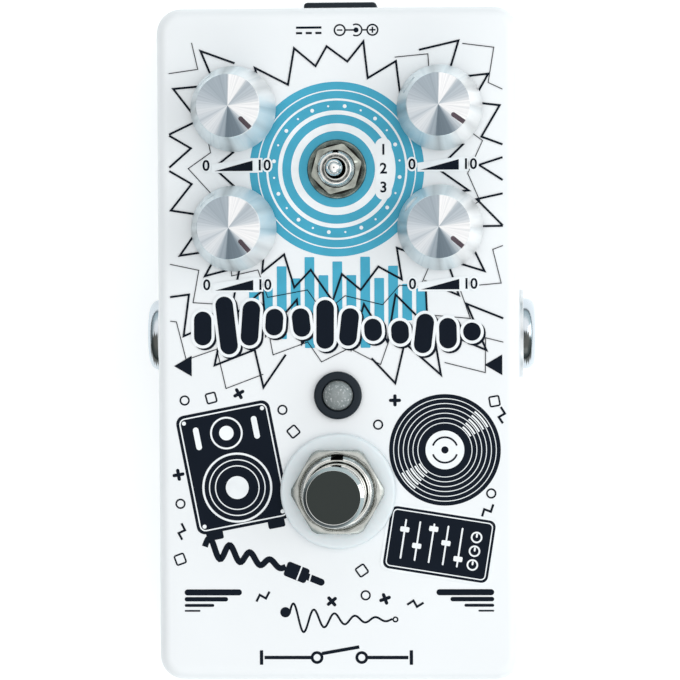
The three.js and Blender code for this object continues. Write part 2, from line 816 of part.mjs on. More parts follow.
// A coil of one unbroken wire, with closed ends
function makeSpring() {
  const curlSteps = 8;
  const wireSides = 5;
  const low = switchCaseTop - switchChamberDepth + springWireRadius + seatGap;
  const high = switchCaseTop - buttonStopGap - buttonFlangeThickness - springWireRadius - seatGap;
  const curls = Math.round((high - low) / springPitch);
  const steps = curls * curlSteps;
  const positions = [];
  for (let step = 0; step <= steps; step += 1) {
    const turn = (step / curlSteps) * 2 * Math.PI;
    const height = low + ((high - low) * step) / steps;
    for (let side = 0; side < wireSides; side += 1) {
      const around = (side / wireSides) * 2 * Math.PI;
      const reach = springRadius + springWireRadius * Math.cos(around);
      const rise = springWireRadius * Math.sin(around);
      positions.push(reach * Math.cos(turn), reach * Math.sin(turn), height + rise);
    }
  }
  const index = [];
  for (let side = 0; side < wireSides; side += 1) {
    const next = (side + 1) % wireSides;
    for (let step = 0; step < steps; step += 1) {
      const here = step * wireSides;
      const there = here + wireSides;
      index.push(here + side, there + side, there + next, here + side, there + next, here + next);
    }
  }
  const last = steps * wireSides;
  for (let side = 1; side < wireSides - 1; side += 1) {
    index.push(0, side, side + 1, last, last + side + 1, last + side);
  }
  const leastGap = (high - low) / curls - 2 * springWireRadius;
  console.log(`footswitch spring: least gap between curls ${leastGap.toFixed(2)} mm`);
  const geometry = new THREE.BufferGeometry();
  geometry.setAttribute('position', new THREE.Float32BufferAttribute(positions, 3));
  geometry.setIndex(index);
  return geometry;
}

function addFootswitch(pedal) {
  const unit = new THREE.Group();
  unit.position.set(0, footswitchRow, 0);
  const washerTop = roofTop + nylonWasherThickness;
  const threadRadius = switchBushingRadius + threadClearance;
  const washerBore = holeRadius(threadRadius, wideSides);
  const washerEdge = edgeArc(nylonWasherEdge).map(([across, up]) => {
    return [nylonWasherRadius - across, washerTop - nylonWasherEdge + up];
  });
  const washer = lathe([
    [washerBore, roofTop],
    [nylonWasherRadius, roofTop],
    ...washerEdge,
    [washerBore, washerTop],
    [washerBore, roofTop],
  ], wideSides);
  const nut = hexNut(switchNutFlats, switchNutHeight, threadRadius, washerTop);
  const lockNut = hexNut(switchNutFlats, lockNutHeight, threadRadius, roofUnder - lockNutHeight);
  unit.add(
    piece('footswitch_case', makeSwitchCase(), bluePlastic),
    piece('footswitch_bushing', makeSwitchBushing(), nickel),
    piece('footswitch_button', makeButton(), nickel),
    piece('footswitch_spring', makeSpring(), steel),
    piece('footswitch_washer', washer, nylon),
    piece('footswitch_nut', nut, nickel),
    piece('footswitch_lock_nut', lockNut, nickel),
  );
  pedal.add(unit);
}

// A quarter-inch jack, drawn with its axis on Z from the middle of the box out through the wall
const jackInside = wallFaceX(jackHeight + jackBodyHeight / 2) - wallThickness - seatGap;
const jackBodyLength = jackInside - jackMiddleGap / 2;
const contactLength = jackBodyLength - contactStart - contactEnd;

function makeJackBody(outside) {
  const shell = prism(boxLevel(jackBodyHeight, jackBodyWidth, jackBodyEdge, 0), jackBodyLength);
  const bushing = rod(jackBushingRadius, jackInside, outside, midSides);
  const boreLow = jackInside - jackBodyLength - cutOverrun;
  const bore = holeCutter(jackBoreRadius, boreLow, outside + cutOverrun, midSides);
  const slotWidth = contactWidth + 2 * contactSlotClearance;
  const slotLow = jackInside - contactStart - contactLength - contactSlotClearance;
  const slot = block(jackBodyHeight, slotWidth, slotLow, jackInside - contactStart + contactSlotClearance);
  slot.translate(contactBumpReach - contactSlotClearance + jackBodyHeight / 2, 0, 0);
  return cut(join(shell.translate(0, 0, jackInside - jackBodyLength), bushing), bore, slot);
}

// The springy strip that meets the plug's tip, seen from the side, with its solder lug
function makeJackContact() {
  const rest = jackBodyHeight / 2 - contactThickness;
  const lugEnd = jackBodyHeight / 2 + (roofUnder - jackHeight - jackBodyHeight / 2) * contactLugShare;
  const start = jackInside - contactStart;
  const end = start - contactLength;
  const bump = end + contactLength / 5;
  const outline = [
    [rest, start],
    [rest, bump + contactBumpLength],
    [contactBumpReach, bump],
    [rest - contactThickness, end],
    [rest, end],
    [contactBumpReach + contactThickness, bump],
    [rest + contactThickness, bump + contactBumpLength],
    [rest + contactThickness, start - contactThickness],
    [lugEnd, start - contactThickness],
    [lugEnd, start],
  ];
  return prism(outline, contactWidth).translate(0, 0, -contactWidth / 2).rotateX(Math.PI / 2);
}

function makeJackNut(low) {
  const top = low + jackNutHeight;
  const shoulder = edgeArc(jackNutHeight, roundSteps).map(([across, up]) => {
    return [jackNutRadius - (across / jackNutHeight) * (jackNutRadius - jackNutFaceRadius), low + up];
  });
  const thread = holeRadius(jackBushingRadius + threadClearance, midSides);
  const mouth = holeRadius(jackBoreRadius, midSides);
  const seat = top - jackNutRecess;
  const inner = [[mouth, top], [mouth, seat], [thread, seat], [thread, low]];
  return lathe([[thread, low], ...shoulder, ...inner], midSides);
}

function addJack(pedal, name, side) {
  const lowEdge = jackHeight - jackWasherRadius;
  const washerLow = wallFaceX(lowEdge) + seatGap;
  const washerHigh = washerLow + jackWasherThickness;
  const outside = washerHigh + jackNutHeight - jackNutRecess - seatGap;
  const jack = new THREE.Group();
  jack.position.set(0, jackRow, jackHeight);
  jack.rotation.y = (side * Math.PI) / 2;
  const washer = ring(jackWasherRadius, jackBushingRadius + holeClearance, washerLow, washerHigh, midSides);
  const body = piece(`${name}_jack`, makeJackBody(outside), blackPlastic);
  const contact = piece(`${name}_jack_contact`, makeJackContact(), brass);
  const upturn = side > 0 ? Math.PI : 0;
  body.rotation.z = upturn;
  contact.rotation.z = upturn;
  jack.add(
    body,
    contact,
    piece(`${name}_jack_washer`, washer, nickel),
    piece(`${name}_jack_nut`, makeJackNut(washerHigh), nickel),
  );
  pedal.add(jack);
}

// The power socket, drawn with its axis on Z: a flange outside the wall, a body inside and a centre pin
const flangeLow = wallFaceY(socketHeight - socketFlangeHeight / 2) + seatGap;
const flangeHigh = flangeLow + socketFlangeThickness;

function makeSocketBody() {
  const outline = boxLevel(socketFlangeWidth, socketFlangeHeight, socketFlangeCorner, 0);
  const flange = prism(outline, socketFlangeThickness).translate(0, 0, flangeLow);
  const body = block(socketBodyWidth, socketBodyHeight, flangeLow - socketBodyDepth, flangeLow + seatGap);
  const boreLow = flangeHigh - socketBoreDepth;
  const bore = holeCutter(socketBoreRadius, boreLow, flangeHigh + cutOverrun, midSides);
  const pinSeatLow = boreLow - socketPinSeat - seatGap;
  const pinSeat = holeCutter(socketPinRadius + seatGap, pinSeatLow, boreLow + cutOverrun, smallSides);
  const legHeight = mainBoardUnder - socketHeight - socketBodyHeight / 2;
  const legs = [-1, 1].map((side) => {
    const low = flangeLow - socketBodyDepth;
    const leg = block(socketLegWidth, legHeight + seatGap, low, low + socketLegWidth);
    const up = -(socketBodyHeight + legHeight - seatGap) / 2;
    return leg.translate((side * (socketBodyWidth - socketLegWidth)) / 2, up, 0);
  });
  return cut(join(flange, body, ...legs), bore, pinSeat);
}

function makeSocketPin() {
  const low = flangeHigh - socketBoreDepth - socketPinSeat;
  const high = flangeHigh - socketBoreDepth + socketPinLength;
  const tip = edgeArc(socketPinRadius).map(([across, up]) => {
    return [socketPinRadius - across, high - socketPinRadius + up];
  });
  tip.at(-1)[0] = 0;
  return lathe([[0, low], [socketPinRadius, low], ...tip], smallSides);
}

function addPowerSocket(pedal) {
  const socket = new THREE.Group();
  socket.position.set(0, 0, socketHeight);
  socket.rotation.x = -Math.PI / 2;
  socket.add(
    piece('power_socket', makeSocketBody(), blackPlastic),
    piece('power_socket_pin', makeSocketPin(), nickel),
  );
  pedal.add(socket);
}

// Boards, chips, capacitors and the ribbon between the boards
function makeBoard(width, nearEdge, farEdge, top) {
  const outline = boxLevel(width, farEdge - nearEdge, boardCorner, 0);
  return prism(outline, boardThickness).translate(0, (nearEdge + farEdge) / 2, top - boardThickness);
}

function makeChip(offset, legsPerSide) {
  const top = mainBoardUnder - chipStandoff;
  const legSpan = (chipLegSpread - chipWidth) / 2 + seatGap;
  const body = block(chipWidth, legsPerSide * chipPitch, top - chipHeight, top);
  const legs = [-1, 1].flatMap((side) => Array.from({ length: legsPerSide }, (_, i) => {
    const along = (i - (legsPerSide - 1) / 2) * chipPitch;
    const leg = block(legSpan, chipLegWidth, top - chipHeight / 2, mainBoardUnder);
    return leg.translate((side * (chipLegSpread - legSpan)) / 2, along, 0);
  }));
  const atPlace = (shape) => shape.translate(offset.x, mainBoardNearEdge + offset.y, 0);
  return join(atPlace(body), ...legs.map(atPlace));
}

function makeCapacitor(offset) {
  const low = mainBoardUnder - canHeight;
  const grooveTop = mainBoardUnder - canGrooveHeight;
  return lathe([
    [0, low],
    [canRadius - canEdge, low],
    [canRadius, low + canEdge],
    [canRadius, grooveTop - canGrooveHeight],
    [canRadius - canGrooveDepth, grooveTop - canGrooveHeight / 2],
    [canRadius, grooveTop],
    [canRadius, mainBoardUnder],
    [0, mainBoardUnder],
  ], smallSides).translate(offset.x, mainBoardNearEdge + offset.y, 0);
}

function makeRibbon() {
  const half = ribbonThickness / 2;
  const low = switchBoardTop + half + seatGap;
  const top = mainBoardUnder - seatGap;
  const middleRadius = (top - low) * ribbonBendShare;
  const bend = (radius) => Array.from({ length: cornerSteps + 1 }, (_, step) => {
    const turn = (step / cornerSteps) * (Math.PI / 2);
    return [
      ribbonTopRow - middleRadius + radius * Math.cos(turn),
      low + middleRadius - radius * Math.sin(turn),
    ];
  });
  const side = [
    [ribbonTopRow + half, top],
    ...bend(middleRadius + half),
    [ribbonEndRow, low - half],
    [ribbonEndRow, low + half],
    ...bend(middleRadius - half).reverse(),
    [ribbonTopRow - half, top],
  ];
  return prism(side, ribbonWidth).translate(0, 0, -ribbonWidth / 2).rotateX(Math.PI / 2).rotateZ(Math.PI / 2);
}

function addElectronics(pedal) {
  const mainBoard = makeBoard(mainBoardWidth, mainBoardNearEdge, mainBoardFarEdge, mainBoardTop);
  const switchBoard = makeBoard(switchBoardWidth, switchBoardNearEdge, switchBoardFarEdge, switchBoardTop);
  pedal.add(
    piece('main_board', mainBoard, greenBoard),
    piece('switch_board', switchBoard, greenBoard),
    piece('delay_chip', makeChip(delayChipOffset, delayChipLegs), blackPlastic),
    piece('amplifier_chip', makeChip(ampChipOffset, ampChipLegs), blackPlastic),
    piece('ribbon_cable', makeRibbon(), cableGrey),
    ...canOffsets.map((place, i) => piece(`capacitor_${i + 1}`, makeCapacitor(place), aluminium)),
  );
}

// The whole pedal, moved back so that the socket's stand-off is shared by both ends
const pedal = new THREE.Group();
pedal.position.y = -(flangeHigh - boxLength / 2) / 2;
addBox(pedal);
Object.entries(knobPlaces).forEach(([name, place]) => addControl(pedal, name, place));
addToggle(pedal);
addLamp(pedal);
addFootswitch(pedal);
addJack(pedal, 'input', 1);
addJack(pedal, 'output', -1);
addPowerSocket(pedal);
addElectronics(pedal);

export default pedal;
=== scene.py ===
# %% [markdown]
# # A guitar delay pedal, dressed for its picture
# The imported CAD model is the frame: it says where every piece is and how big it is. This lesson models
# each visible piece again with smooth edges, gives it the finish of the real one and prints the face.
# Lengths are written in millimetres and turned into metres by one value, mm.

# %% Load the frame
import json
import math
import random

import bmesh
import bpy
from mathutils import Matrix, Vector


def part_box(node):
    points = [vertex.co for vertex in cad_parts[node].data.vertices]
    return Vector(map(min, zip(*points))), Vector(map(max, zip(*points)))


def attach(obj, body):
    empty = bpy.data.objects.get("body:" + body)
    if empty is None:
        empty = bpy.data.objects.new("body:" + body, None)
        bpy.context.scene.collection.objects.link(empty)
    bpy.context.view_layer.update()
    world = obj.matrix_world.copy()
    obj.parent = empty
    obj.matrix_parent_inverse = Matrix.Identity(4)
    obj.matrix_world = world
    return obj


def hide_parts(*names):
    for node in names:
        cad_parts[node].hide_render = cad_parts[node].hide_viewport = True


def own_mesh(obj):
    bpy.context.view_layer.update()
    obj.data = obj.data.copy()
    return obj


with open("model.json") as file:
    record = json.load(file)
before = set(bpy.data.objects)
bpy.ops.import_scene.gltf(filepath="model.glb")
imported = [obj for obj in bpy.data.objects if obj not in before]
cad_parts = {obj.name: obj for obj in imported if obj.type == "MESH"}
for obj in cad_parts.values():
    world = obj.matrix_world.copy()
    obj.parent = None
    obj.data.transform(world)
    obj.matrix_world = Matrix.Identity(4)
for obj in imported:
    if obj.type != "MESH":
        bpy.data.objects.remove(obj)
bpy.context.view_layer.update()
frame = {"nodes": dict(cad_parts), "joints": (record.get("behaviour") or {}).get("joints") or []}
mm = 0.001


# %% [markdown]
# ## Places in the frame
# The frame answers in metres where each node's lowest and highest corners are. These helpers put such
# answers into millimetres, because a pedal is easier to think of in them.

# %% Places in the frame
def box_mm(node):
    """Lowest and highest corner of a CAD node, in millimetres."""
    low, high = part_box(node)
    return Vector(low) / mm, Vector(high) / mm


def middle_mm(node):
    low, high = box_mm(node)
    return (low + high) / 2


def radius_mm(node, axis=0):
    """Half of a round node's size along an axis."""
    low, high = box_mm(node)
    return (high[axis] - low[axis]) / 2


def joint_of(name):
    return next(joint for joint in frame["joints"] if joint["name"] == name)


def off_axis(place, spot):
    """How far a place is from an upright axis through a spot."""
    return (place.xy - spot.xy).length


box_low, box_high = box_mm("enclosure")
face_height = box_high.z
face_middle = middle_mm("enclosure").xy
hair = 0.01
print("height of the face in mm:", round(face_height, 2))

# %% [markdown]
# ## Camera
# The pedal was photographed from almost straight above with a long lens, so the face is nearly free of
# perspective. The tall pieces lean away from the spot under the lens, which gives the camera's place:
# a little to the right of the middle and towards the socket end.

# %% Camera
lens_length = 180
camera_place = Vector((27.6, 11.2, 593.7))
camera_target = Vector((0.38, -0.2, face_height))
camera_roll = math.radians(0.31)

camera_data = bpy.data.cameras.new("camera")
camera_data.lens = lens_length
camera_data.clip_start = 0.01
camera_data.clip_end = 10
camera = bpy.data.objects.new("camera", camera_data)
bpy.context.scene.collection.objects.link(camera)
camera.location = camera_place * mm
aim = (camera_target - camera_place).normalized()
side = aim.cross(Vector((math.sin(camera_roll), math.cos(camera_roll), 0))).normalized()
top = side.cross(aim)
camera.rotation_euler = Matrix((side, top, -aim)).transposed().to_euler()
bpy.context.scene.camera = camera
print("camera height over the face in mm:", round(camera_place.z - face_height, 1))


# %% [markdown]
# ## Nodes written as sums
# A finish is a small network of nodes. Writing it as Python sums keeps it readable, so one class wraps a
# socket and turns +, -, * and / into Math nodes, and another holds the material and makes other nodes.

# %% Shader helpers
class Amount:
    """A number that changes over a surface. Sums on it add Math nodes."""

    def __init__(self, finish, socket):
        self.finish = finish
        self.socket = socket

    def math(self, operation, first, second=0.0):
        node = self.finish.node("ShaderNodeMath", {"operation": operation}, {0: first, 1: second})
        return Amount(self.finish, node.outputs[0])

    def __add__(self, other):
        return self.math("ADD", self, other)

    def __sub__(self, other):
        return self.math("SUBTRACT", self, other)

    def __rsub__(self, other):
        return self.math("SUBTRACT", other, self)

    def __mul__(self, other):
        return self.math("MULTIPLY", self, other)

    def __truediv__(self, other):
        return self.math("DIVIDE", self, other)

    def __pow__(self, other):
        return self.math("POWER", self, other)

    def sine(self):
        return self.math("SINE", self)

    def angle_to(self, other):
        return self.math("ARCTAN2", self, other)

    __radd__ = __add__
    __rmul__ = __mul__


class Nodes:
    """A node tree whose nodes are all made by one method."""

    def __init__(self, tree):
        self.tree = tree

    def node(self, kind, settings=None, inputs=None):
        made = self.tree.nodes.new(kind)
        for setting, value in (settings or {}).items():
            if setting == "stops":
                ramp = made.color_ramp
                while len(ramp.elements) < len(value):
                    ramp.elements.new(0.5)
                for stop, (position, shade) in zip(ramp.elements, value):
                    stop.position = position
                    stop.color = (*shade, 1.0)
            else:
                setattr(made, setting, value)
        for socket, value in (inputs or {}).items():
            self.feed(made, socket, value)
        return made

    def feed(self, node, socket, value):
        target = node.inputs[socket]
        if isinstance(value, Amount):
            value = value.socket
        if isinstance(value, bpy.types.NodeSocket):
            self.tree.links.new(value, target)
        elif hasattr(target.default_value, "__len__") and len(target.default_value) == 4 and len(value) == 3:
            target.default_value = (*value, 1.0)
        else:
            target.default_value = value

    def mixed(self, blend, share, first, second):
        """Two colours blended by a share."""
        kind = {"data_type": "RGBA", "blend_type": blend}
        return self.node("ShaderNodeMix", kind, {0: share, 6: first, 7: second}).outputs[2]

    def shades(self, amount, stops):
        """A colour for each value of an amount, as stops of (value, colour)."""
        ramp = self.node("ShaderNodeValToRGB", {"stops": stops}, {0: amount})
        return ramp.outputs["Color"]


class Finish(Nodes):
    """A material: a Principled shader with constants, and patterns that feed it."""

    def __init__(self, name, **constants):
        self.material = bpy.data.materials.new(name)
        self.material.use_nodes = True
        super().__init__(self.material.node_tree)
        self.shader = self.tree.nodes["Principled BSDF"]
        self.place = self.node("ShaderNodeTexCoord").outputs["Object"]
        for socket, value in constants.items():
            self.feed(self.shader, socket.replace("_", " "), value)

    def axes(self, centre):
        """The distances in millimetres from a centre, along X and along Y."""
        settings = {"Vector": self.place, "Location": [-part for part in centre], "Scale": (1 / mm, 1 / mm, 1 / mm)}
        moved = self.node("ShaderNodeMapping", inputs=settings)
        split = self.node("ShaderNodeSeparateXYZ", inputs={0: moved.outputs[0]})
        return Amount(self, split.outputs[0]), Amount(self, split.outputs[1])

    def noise(self, size, detail=3.0):
        """Clouds from 0 to 1 whose blotches are about this many millimetres across."""
        settings = {"Vector": self.place, "Scale": 1 / (size * mm), "Detail": detail}
        return Amount(self, self.node("ShaderNodeTexNoise", inputs=settings).outputs["Fac"])

    def bands(self, turn, count, detail):
        """Uneven bands from 0 to 1, about this many to a full turn."""
        settings = {"W": turn * count, "Scale": 1.0, "Detail": detail}
        made = self.node("ShaderNodeTexNoise", {"noise_dimensions": "1D"}, settings)
        return Amount(self, made.outputs["Fac"])

    def bump(self, height, depth, strength=1.0):
        """Relief this many millimetres deep where the height goes from 0 to 1."""
        made = self.node("ShaderNodeBump", inputs={"Height": height, "Distance": depth * mm, "Strength": strength})
        self.feed(self.shader, "Normal", made.outputs[0])

    def base(self, colour):
        self.feed(self.shader, "Base Color", colour)

    def rough(self, amount):
        self.feed(self.shader, "Roughness", amount)


def tint(colour, factor):
    return tuple(min(1.0, part * factor) for part in colour)


def cloudy(finish, colour, size, spread):
    """Gives a finish a colour that wanders a little, by this share, over blotches of this size."""
    stops = [(0.3, tint(colour, 1 - spread)), (0.7, tint(colour, 1 + spread))]
    finish.base(finish.shades(finish.noise(size), stops))


# %% [markdown]
# ## Finishes of the box and its print
# The box is die-cast aluminium with a white powder coat, which is smooth to the eye but has a very fine
# orange peel. The print is screened ink: a near-black blue, a teal and an opaque white, each a little
# uneven, and slightly rougher than the coat.

# %% White coat and inks
white_paint = Finish("white_paint", Coat_Weight=0.25, Coat_Roughness=0.2)
cloudy(white_paint, (0.885, 0.908, 0.922), 18.0, 0.012)
white_paint.rough(0.36 + 0.08 * white_paint.noise(2.0))
white_paint.bump(white_paint.noise(0.5), 0.004, 0.5)


def make_ink(name, colour, roughness, gloss):
    ink = Finish(name, Specular_IOR_Level=gloss)
    cloudy(ink, colour, 3.0, 0.05)
    ink.rough(roughness + 0.1 * ink.noise(0.8))
    ink.bump(ink.noise(0.3), 0.004, 0.4)
    return ink


black_ink = make_ink("black_ink", (0.006, 0.01, 0.018), 0.5, 0.06)
teal_ink = make_ink("teal_ink", (0.055, 0.39, 0.56), 0.45, 0.3)
white_ink = make_ink("white_ink", (0.9, 0.93, 0.945), 0.4, 0.4)

# %% [markdown]
# ## Metals
# The knobs are turned from aluminium bar, and the tool leaves fine rings on the flat top. Such rings
# spread a reflection across them, so the top shows bright and dark wedges that meet in the middle, and the
# skirt shows upright bands. Both are painted reflections, given as shades round the axis in the colour,
# the top with fine rings in the relief. The nuts, bushings and jack nuts are nickel plated, which is a
# warm grey mirror with small stains and rubbed patches; a jack nut's flank also has a painted reflection.

# %% Turned aluminium
# Levels of the painted reflection wedges on a knob top, as shares of a turn from the left.
reflection_wedge_stops = [
    (0.0, 0.74), (0.04, 0.84), (0.08, 0.7), (0.125, 0.88), (0.18, 0.8), (0.195, 0.54), (0.235, 0.46),
    (0.243, 0.25), (0.318, 0.29), (0.34, 0.42), (0.375, 0.74), (0.405, 1.0), (0.517, 1.0), (0.54, 0.78),
    (0.583, 0.68), (0.64, 0.62), (0.66, 1.0), (0.744, 1.0), (0.752, 0.57), (0.79, 0.54), (0.86, 0.54),
    (0.917, 0.6), (0.958, 0.66), (1.0, 0.74),
]


def spun_aluminium(name, centre):
    """Aluminium turned about an upright axis through this centre, in millimetres, with painted reflection wedges in
    its colour.
    """
    metal = Finish(name, Metallic=1.0, Anisotropic=0.5)
    across, along = metal.axes(centre)
    turn = along.angle_to(across) / (2 * math.pi) + 0.5
    reach = (across * across + along * along) ** 0.5
    clouds = metal.noise(0.9, 2.0)
    # Painted reflection: bright and dark wedges round the axis, bluer where darker.
    wedges = metal.shades(turn + 0.004 * clouds, [
        (place, (level * (0.55 + 0.45 * level), level * (0.8 + 0.2 * level), level)) for place, level in reflection_wedge_stops])
    streaks = metal.shades(metal.bands(turn, 70.0, 2.0), [(0.3, (0.86, 0.87, 0.88)), (0.62, (1, 1, 1))])
    metal.base(metal.mixed("MULTIPLY", 1.0, wedges, streaks))
    rings_per_mm = 42.0 / (2 * math.pi)
    rings = (reach * (2 * math.pi * rings_per_mm)).sine() * 0.5 + 0.5
    metal.rough(0.4 + 0.1 * clouds)
    metal.bump(rings + clouds, 0.003, 0.5)
    return metal


# %% Turned skirt
# Levels of the painted reflection on a knob's skirt, by angle in degrees from the right.
skirt_reflection_stops = [
    (-180, 0.66), (-172, 0.4), (-160, 0.8), (-140, 0.86), (-120, 0.96), (-100, 0.84), (-90, 0.56), (-82, 0.94),
    (-72, 1.0), (-58, 0.9), (-40, 1.0), (-32, 0.8), (-22, 1.0), (-8, 1.0), (-2, 0.84), (7, 1.0), (20, 1.0),
    (30, 0.76), (42, 0.95), (82, 0.98), (90, 0.78), (98, 0.62), (110, 0.95), (130, 1.0), (150, 0.86), (160, 0.78),
    (172, 0.6), (180, 0.66),
]
# Within this angle of the right the skirt has the lit tint; elsewhere it has the bluish painted shade.
lit_side_half_angle = 60
painted_lit_tint, painted_shade_tint = (1, 1, 1), (0.86, 0.96, 1)


def turned_skirt(name, centre):
    """The cone of a knob, turned in fine rings. What it mirrors is painted into its colour as bands, white towards
    the light and bluish in shade.
    """
    metal = Finish(name, Metallic=0.4, Anisotropic=0.85)
    across, along = metal.axes(centre)
    turn = along.angle_to(across) / (2 * math.pi)
    streaks = metal.shades(metal.bands(turn, 26.0, 3.0), [
        (0.34, (0.86, 0.89, 0.9)), (0.41, (0.9, 0.92, 0.93)), (0.45, (0.97, 0.98, 0.98)), (0.58, (1, 1, 1))])
    # Painted reflection and light round the axis: white on the side towards the light, bluish painted shade
    # elsewhere.
    painted_light_sectors = metal.shades(turn + 0.5, [
        (0.5 + angle / 360, tint(painted_lit_tint if abs(angle) < lit_side_half_angle else painted_shade_tint, level))
        for angle, level in skirt_reflection_stops])
    metal.base(metal.mixed("MULTIPLY", 1.0, painted_light_sectors, streaks))
    metal.rough(0.38 + 0.06 * metal.noise(1.5))
    return metal


# %% Plated and plain metals
def make_metal(name, colour, roughness, spread, scratches, stain=0.22):
    metal = Finish(name, Metallic=1.0)
    cloudy(metal, colour, 1.6, spread)
    metal.rough(roughness + stain * metal.noise(0.7) ** 2.0)
    if scratches:
        metal.bump(metal.noise(0.25), scratches, 0.6)
    return metal


def shaded_chrome(name, centre):
    """The polish of a jack nut. One flank mirrors a dark part of the room, given here as a striped spot."""
    metal = Finish(name, Metallic=1.0)
    across, along = metal.axes(centre)
    spot_shift, spot_stretch = 2.3, 3.3
    stretched = (along + spot_shift) / spot_stretch
    reach = (across * across + stretched * stretched) ** 0.5
    stripes = (across * 17.0).sine() * 0.05 + 0.06 * metal.noise(0.5)
    metal.base(metal.shades(reach * 0.6 + stripes, [(0.46, (0.09, 0.095, 0.09)), (0.56, (0.6, 0.65, 0.69))]))
    metal.rough(0.12 + 0.1 * metal.noise(0.7))
    return metal


bright_nickel = make_metal("bright_nickel", (0.74, 0.74, 0.71), 0.1, 0.14, 0.006)
satin_nickel = make_metal("satin_nickel", (0.44, 0.455, 0.43), 0.2, 0.16, 0.006)
polished_nickel = make_metal("polished_nickel", (0.8, 0.8, 0.78), 0.03, 0.005, 0.0, 0.0)
zinc_steel = make_metal("zinc_steel", (0.6, 0.6, 0.61), 0.28, 0.08, 0.004)
worn_nickel = make_metal("worn_nickel", (0.31, 0.33, 0.295), 0.14, 0.4, 0.012)
dull_nickel = make_metal("dull_nickel", (0.17, 0.2, 0.18), 0.2, 0.5, 0.012)
spring_brass = make_metal("spring_brass", (0.74, 0.6, 0.34), 0.25, 0.08, 0.003)
can_aluminium = make_metal("can_aluminium", (0.75, 0.77, 0.78), 0.25, 0.04, 0.002)


# %% [markdown]
# ## Plastics, rubber and boards
# Moulded plastic is never one flat colour: it carries faint flow marks and a fine spark texture. The
# washer under the footswitch is milky nylon, which lets a little light in. The lamp's lens is milky and
# unlit: a dull grey with bright specks in it, which are painted glints.

# %% Plastics
def make_plastic(name, colour, roughness, grain, spread=0.06, **constants):
    """A moulded plastic. Without a spread its colour is set afterwards."""
    plastic = Finish(name, **constants)
    if spread:
        cloudy(plastic, colour, 2.5, spread)
    plastic.rough(roughness + 0.12 * plastic.noise(0.6))
    plastic.bump(plastic.noise(grain), 0.01, 0.4)
    return plastic


black_plastic = make_plastic("black_plastic", (0.008, 0.015, 0.023), 0.45, 0.25, Specular_IOR_Level=0.25)
# A near-black that stands for shade: painted shade in keyways, hollows and under nuts.
painted_shade = make_plastic("painted_shade", (0.012, 0.012, 0.01), 0.6, 0.3, 0.2, Specular_IOR_Level=0.2)
blue_plastic = make_plastic("blue_plastic", (0.02, 0.1, 0.3), 0.4, 0.3)
soft_rubber = make_plastic("soft_rubber", (0.012, 0.013, 0.014), 0.75, 0.2, 0.15)
milky_nylon = make_plastic("milky_nylon", (0.8, 0.855, 0.88), 0.3, 0.6, 0.02,
                           Subsurface_Weight=0.3, Subsurface_Radius=(0.004, 0.005, 0.005))
pointer_paint = make_plastic("pointer_paint", (0.07, 0.045, 0.06), 0.5, 0.2, 0.2)
clear_lens = make_plastic("clear_lens", None, 0.1, 0.35, None, Transmission_Weight=0.35, IOR=1.5)
# The brightest specks in the lens's colour are painted glints.
clear_lens.base(clear_lens.shades(clear_lens.noise(0.4), [
    (0.3, (0.35, 0.39, 0.39)), (0.58, (0.4, 0.44, 0.44)), (0.64, (0.7, 0.74, 0.74)), (0.7, (1, 1, 1))]))
green_board = make_plastic("green_board", (0.015, 0.11, 0.05), 0.35, 0.4)
grey_cable = make_plastic("grey_cable", (0.25, 0.26, 0.28), 0.5, 0.3)

# %% [markdown]
# ## Floor and light
# The pedal stands on a plain pale sweep that comes out white. Most of the light is a bright sky, with a
# big soft panel on the right and a weaker one at the near end. Polished flat tops look straight back at
# the dark camera, so the sky has a dark patch overhead, and a bright ring round it for the metal to catch.

# %% Floor
bpy.context.scene.view_settings.view_transform = "Standard"
floor_side = 5000
floor_drop = 0.03
bpy.ops.object.select_all(action="DESELECT")
bpy.ops.mesh.primitive_plane_add(size=floor_side * mm, location=(0, 0, -floor_drop * mm))
floor = bpy.context.object
floor.name = "floor"
pale_sweep = Finish("pale_sweep", Roughness=0.8, Emission_Color=(1, 1, 1), Emission_Strength=0.26)
cloudy(pale_sweep, (0.93, 0.945, 0.95), 200.0, 0.005)
floor.data.materials.append(pale_sweep.material)


# %% Lights
def soft_panel(name, place, width, length, power):
    """An area light in millimetres, turned to the middle of the face."""
    data = bpy.data.lights.new(name, "AREA")
    data.shape = "RECTANGLE"
    data.size = width * mm
    data.size_y = length * mm
    data.energy = power
    panel = bpy.data.objects.new(name, data)
    bpy.context.scene.collection.objects.link(panel)
    panel.location = Vector(place) * mm
    panel.rotation_euler = (Vector((0, 0, face_height)) - Vector(place)).to_track_quat("-Z", "Y").to_euler()


soft_panel("right_panel", (600, 90, 420), 380, 560, 0.9)
soft_panel("near_panel", (120, -640, 420), 520, 260, 0.45)

# %% Sky
world = bpy.data.worlds.new("studio")
bpy.context.scene.world = world
world.use_nodes = True
sky = Nodes(world.node_tree)
direction = sky.node("ShaderNodeTexCoord").outputs["Generated"]
parts = sky.node("ShaderNodeSeparateXYZ", inputs={0: direction})
across, along, up = [Amount(sky, output) for output in parts.outputs]
ring_light, dark_patch = (1.12, 1.11, 1.11), (0.048, 0.056, 0.055)
ramp = sky.shades(up, [
    (0.0, (0.08, 0.1, 0.11)), (0.1, (0.12, 0.14, 0.15)), (0.17, (0.4, 0.5, 0.53)), (0.5, (0.62, 0.7, 0.73)),
    (0.7, ring_light), (0.975, ring_light), (0.986, (0.5, 0.52, 0.52)), (0.9915, dark_patch),
])
sky_level = 1.1 + 0.1 * across + (0.42 * across - 0.26) * across * across + 0.02 * along
sky.feed(sky.tree.nodes["Background"], "Color", ramp)
sky.feed(sky.tree.nodes["Background"], "Strength", sky_level)

print("lights:", [light.name for light in bpy.data.lights])


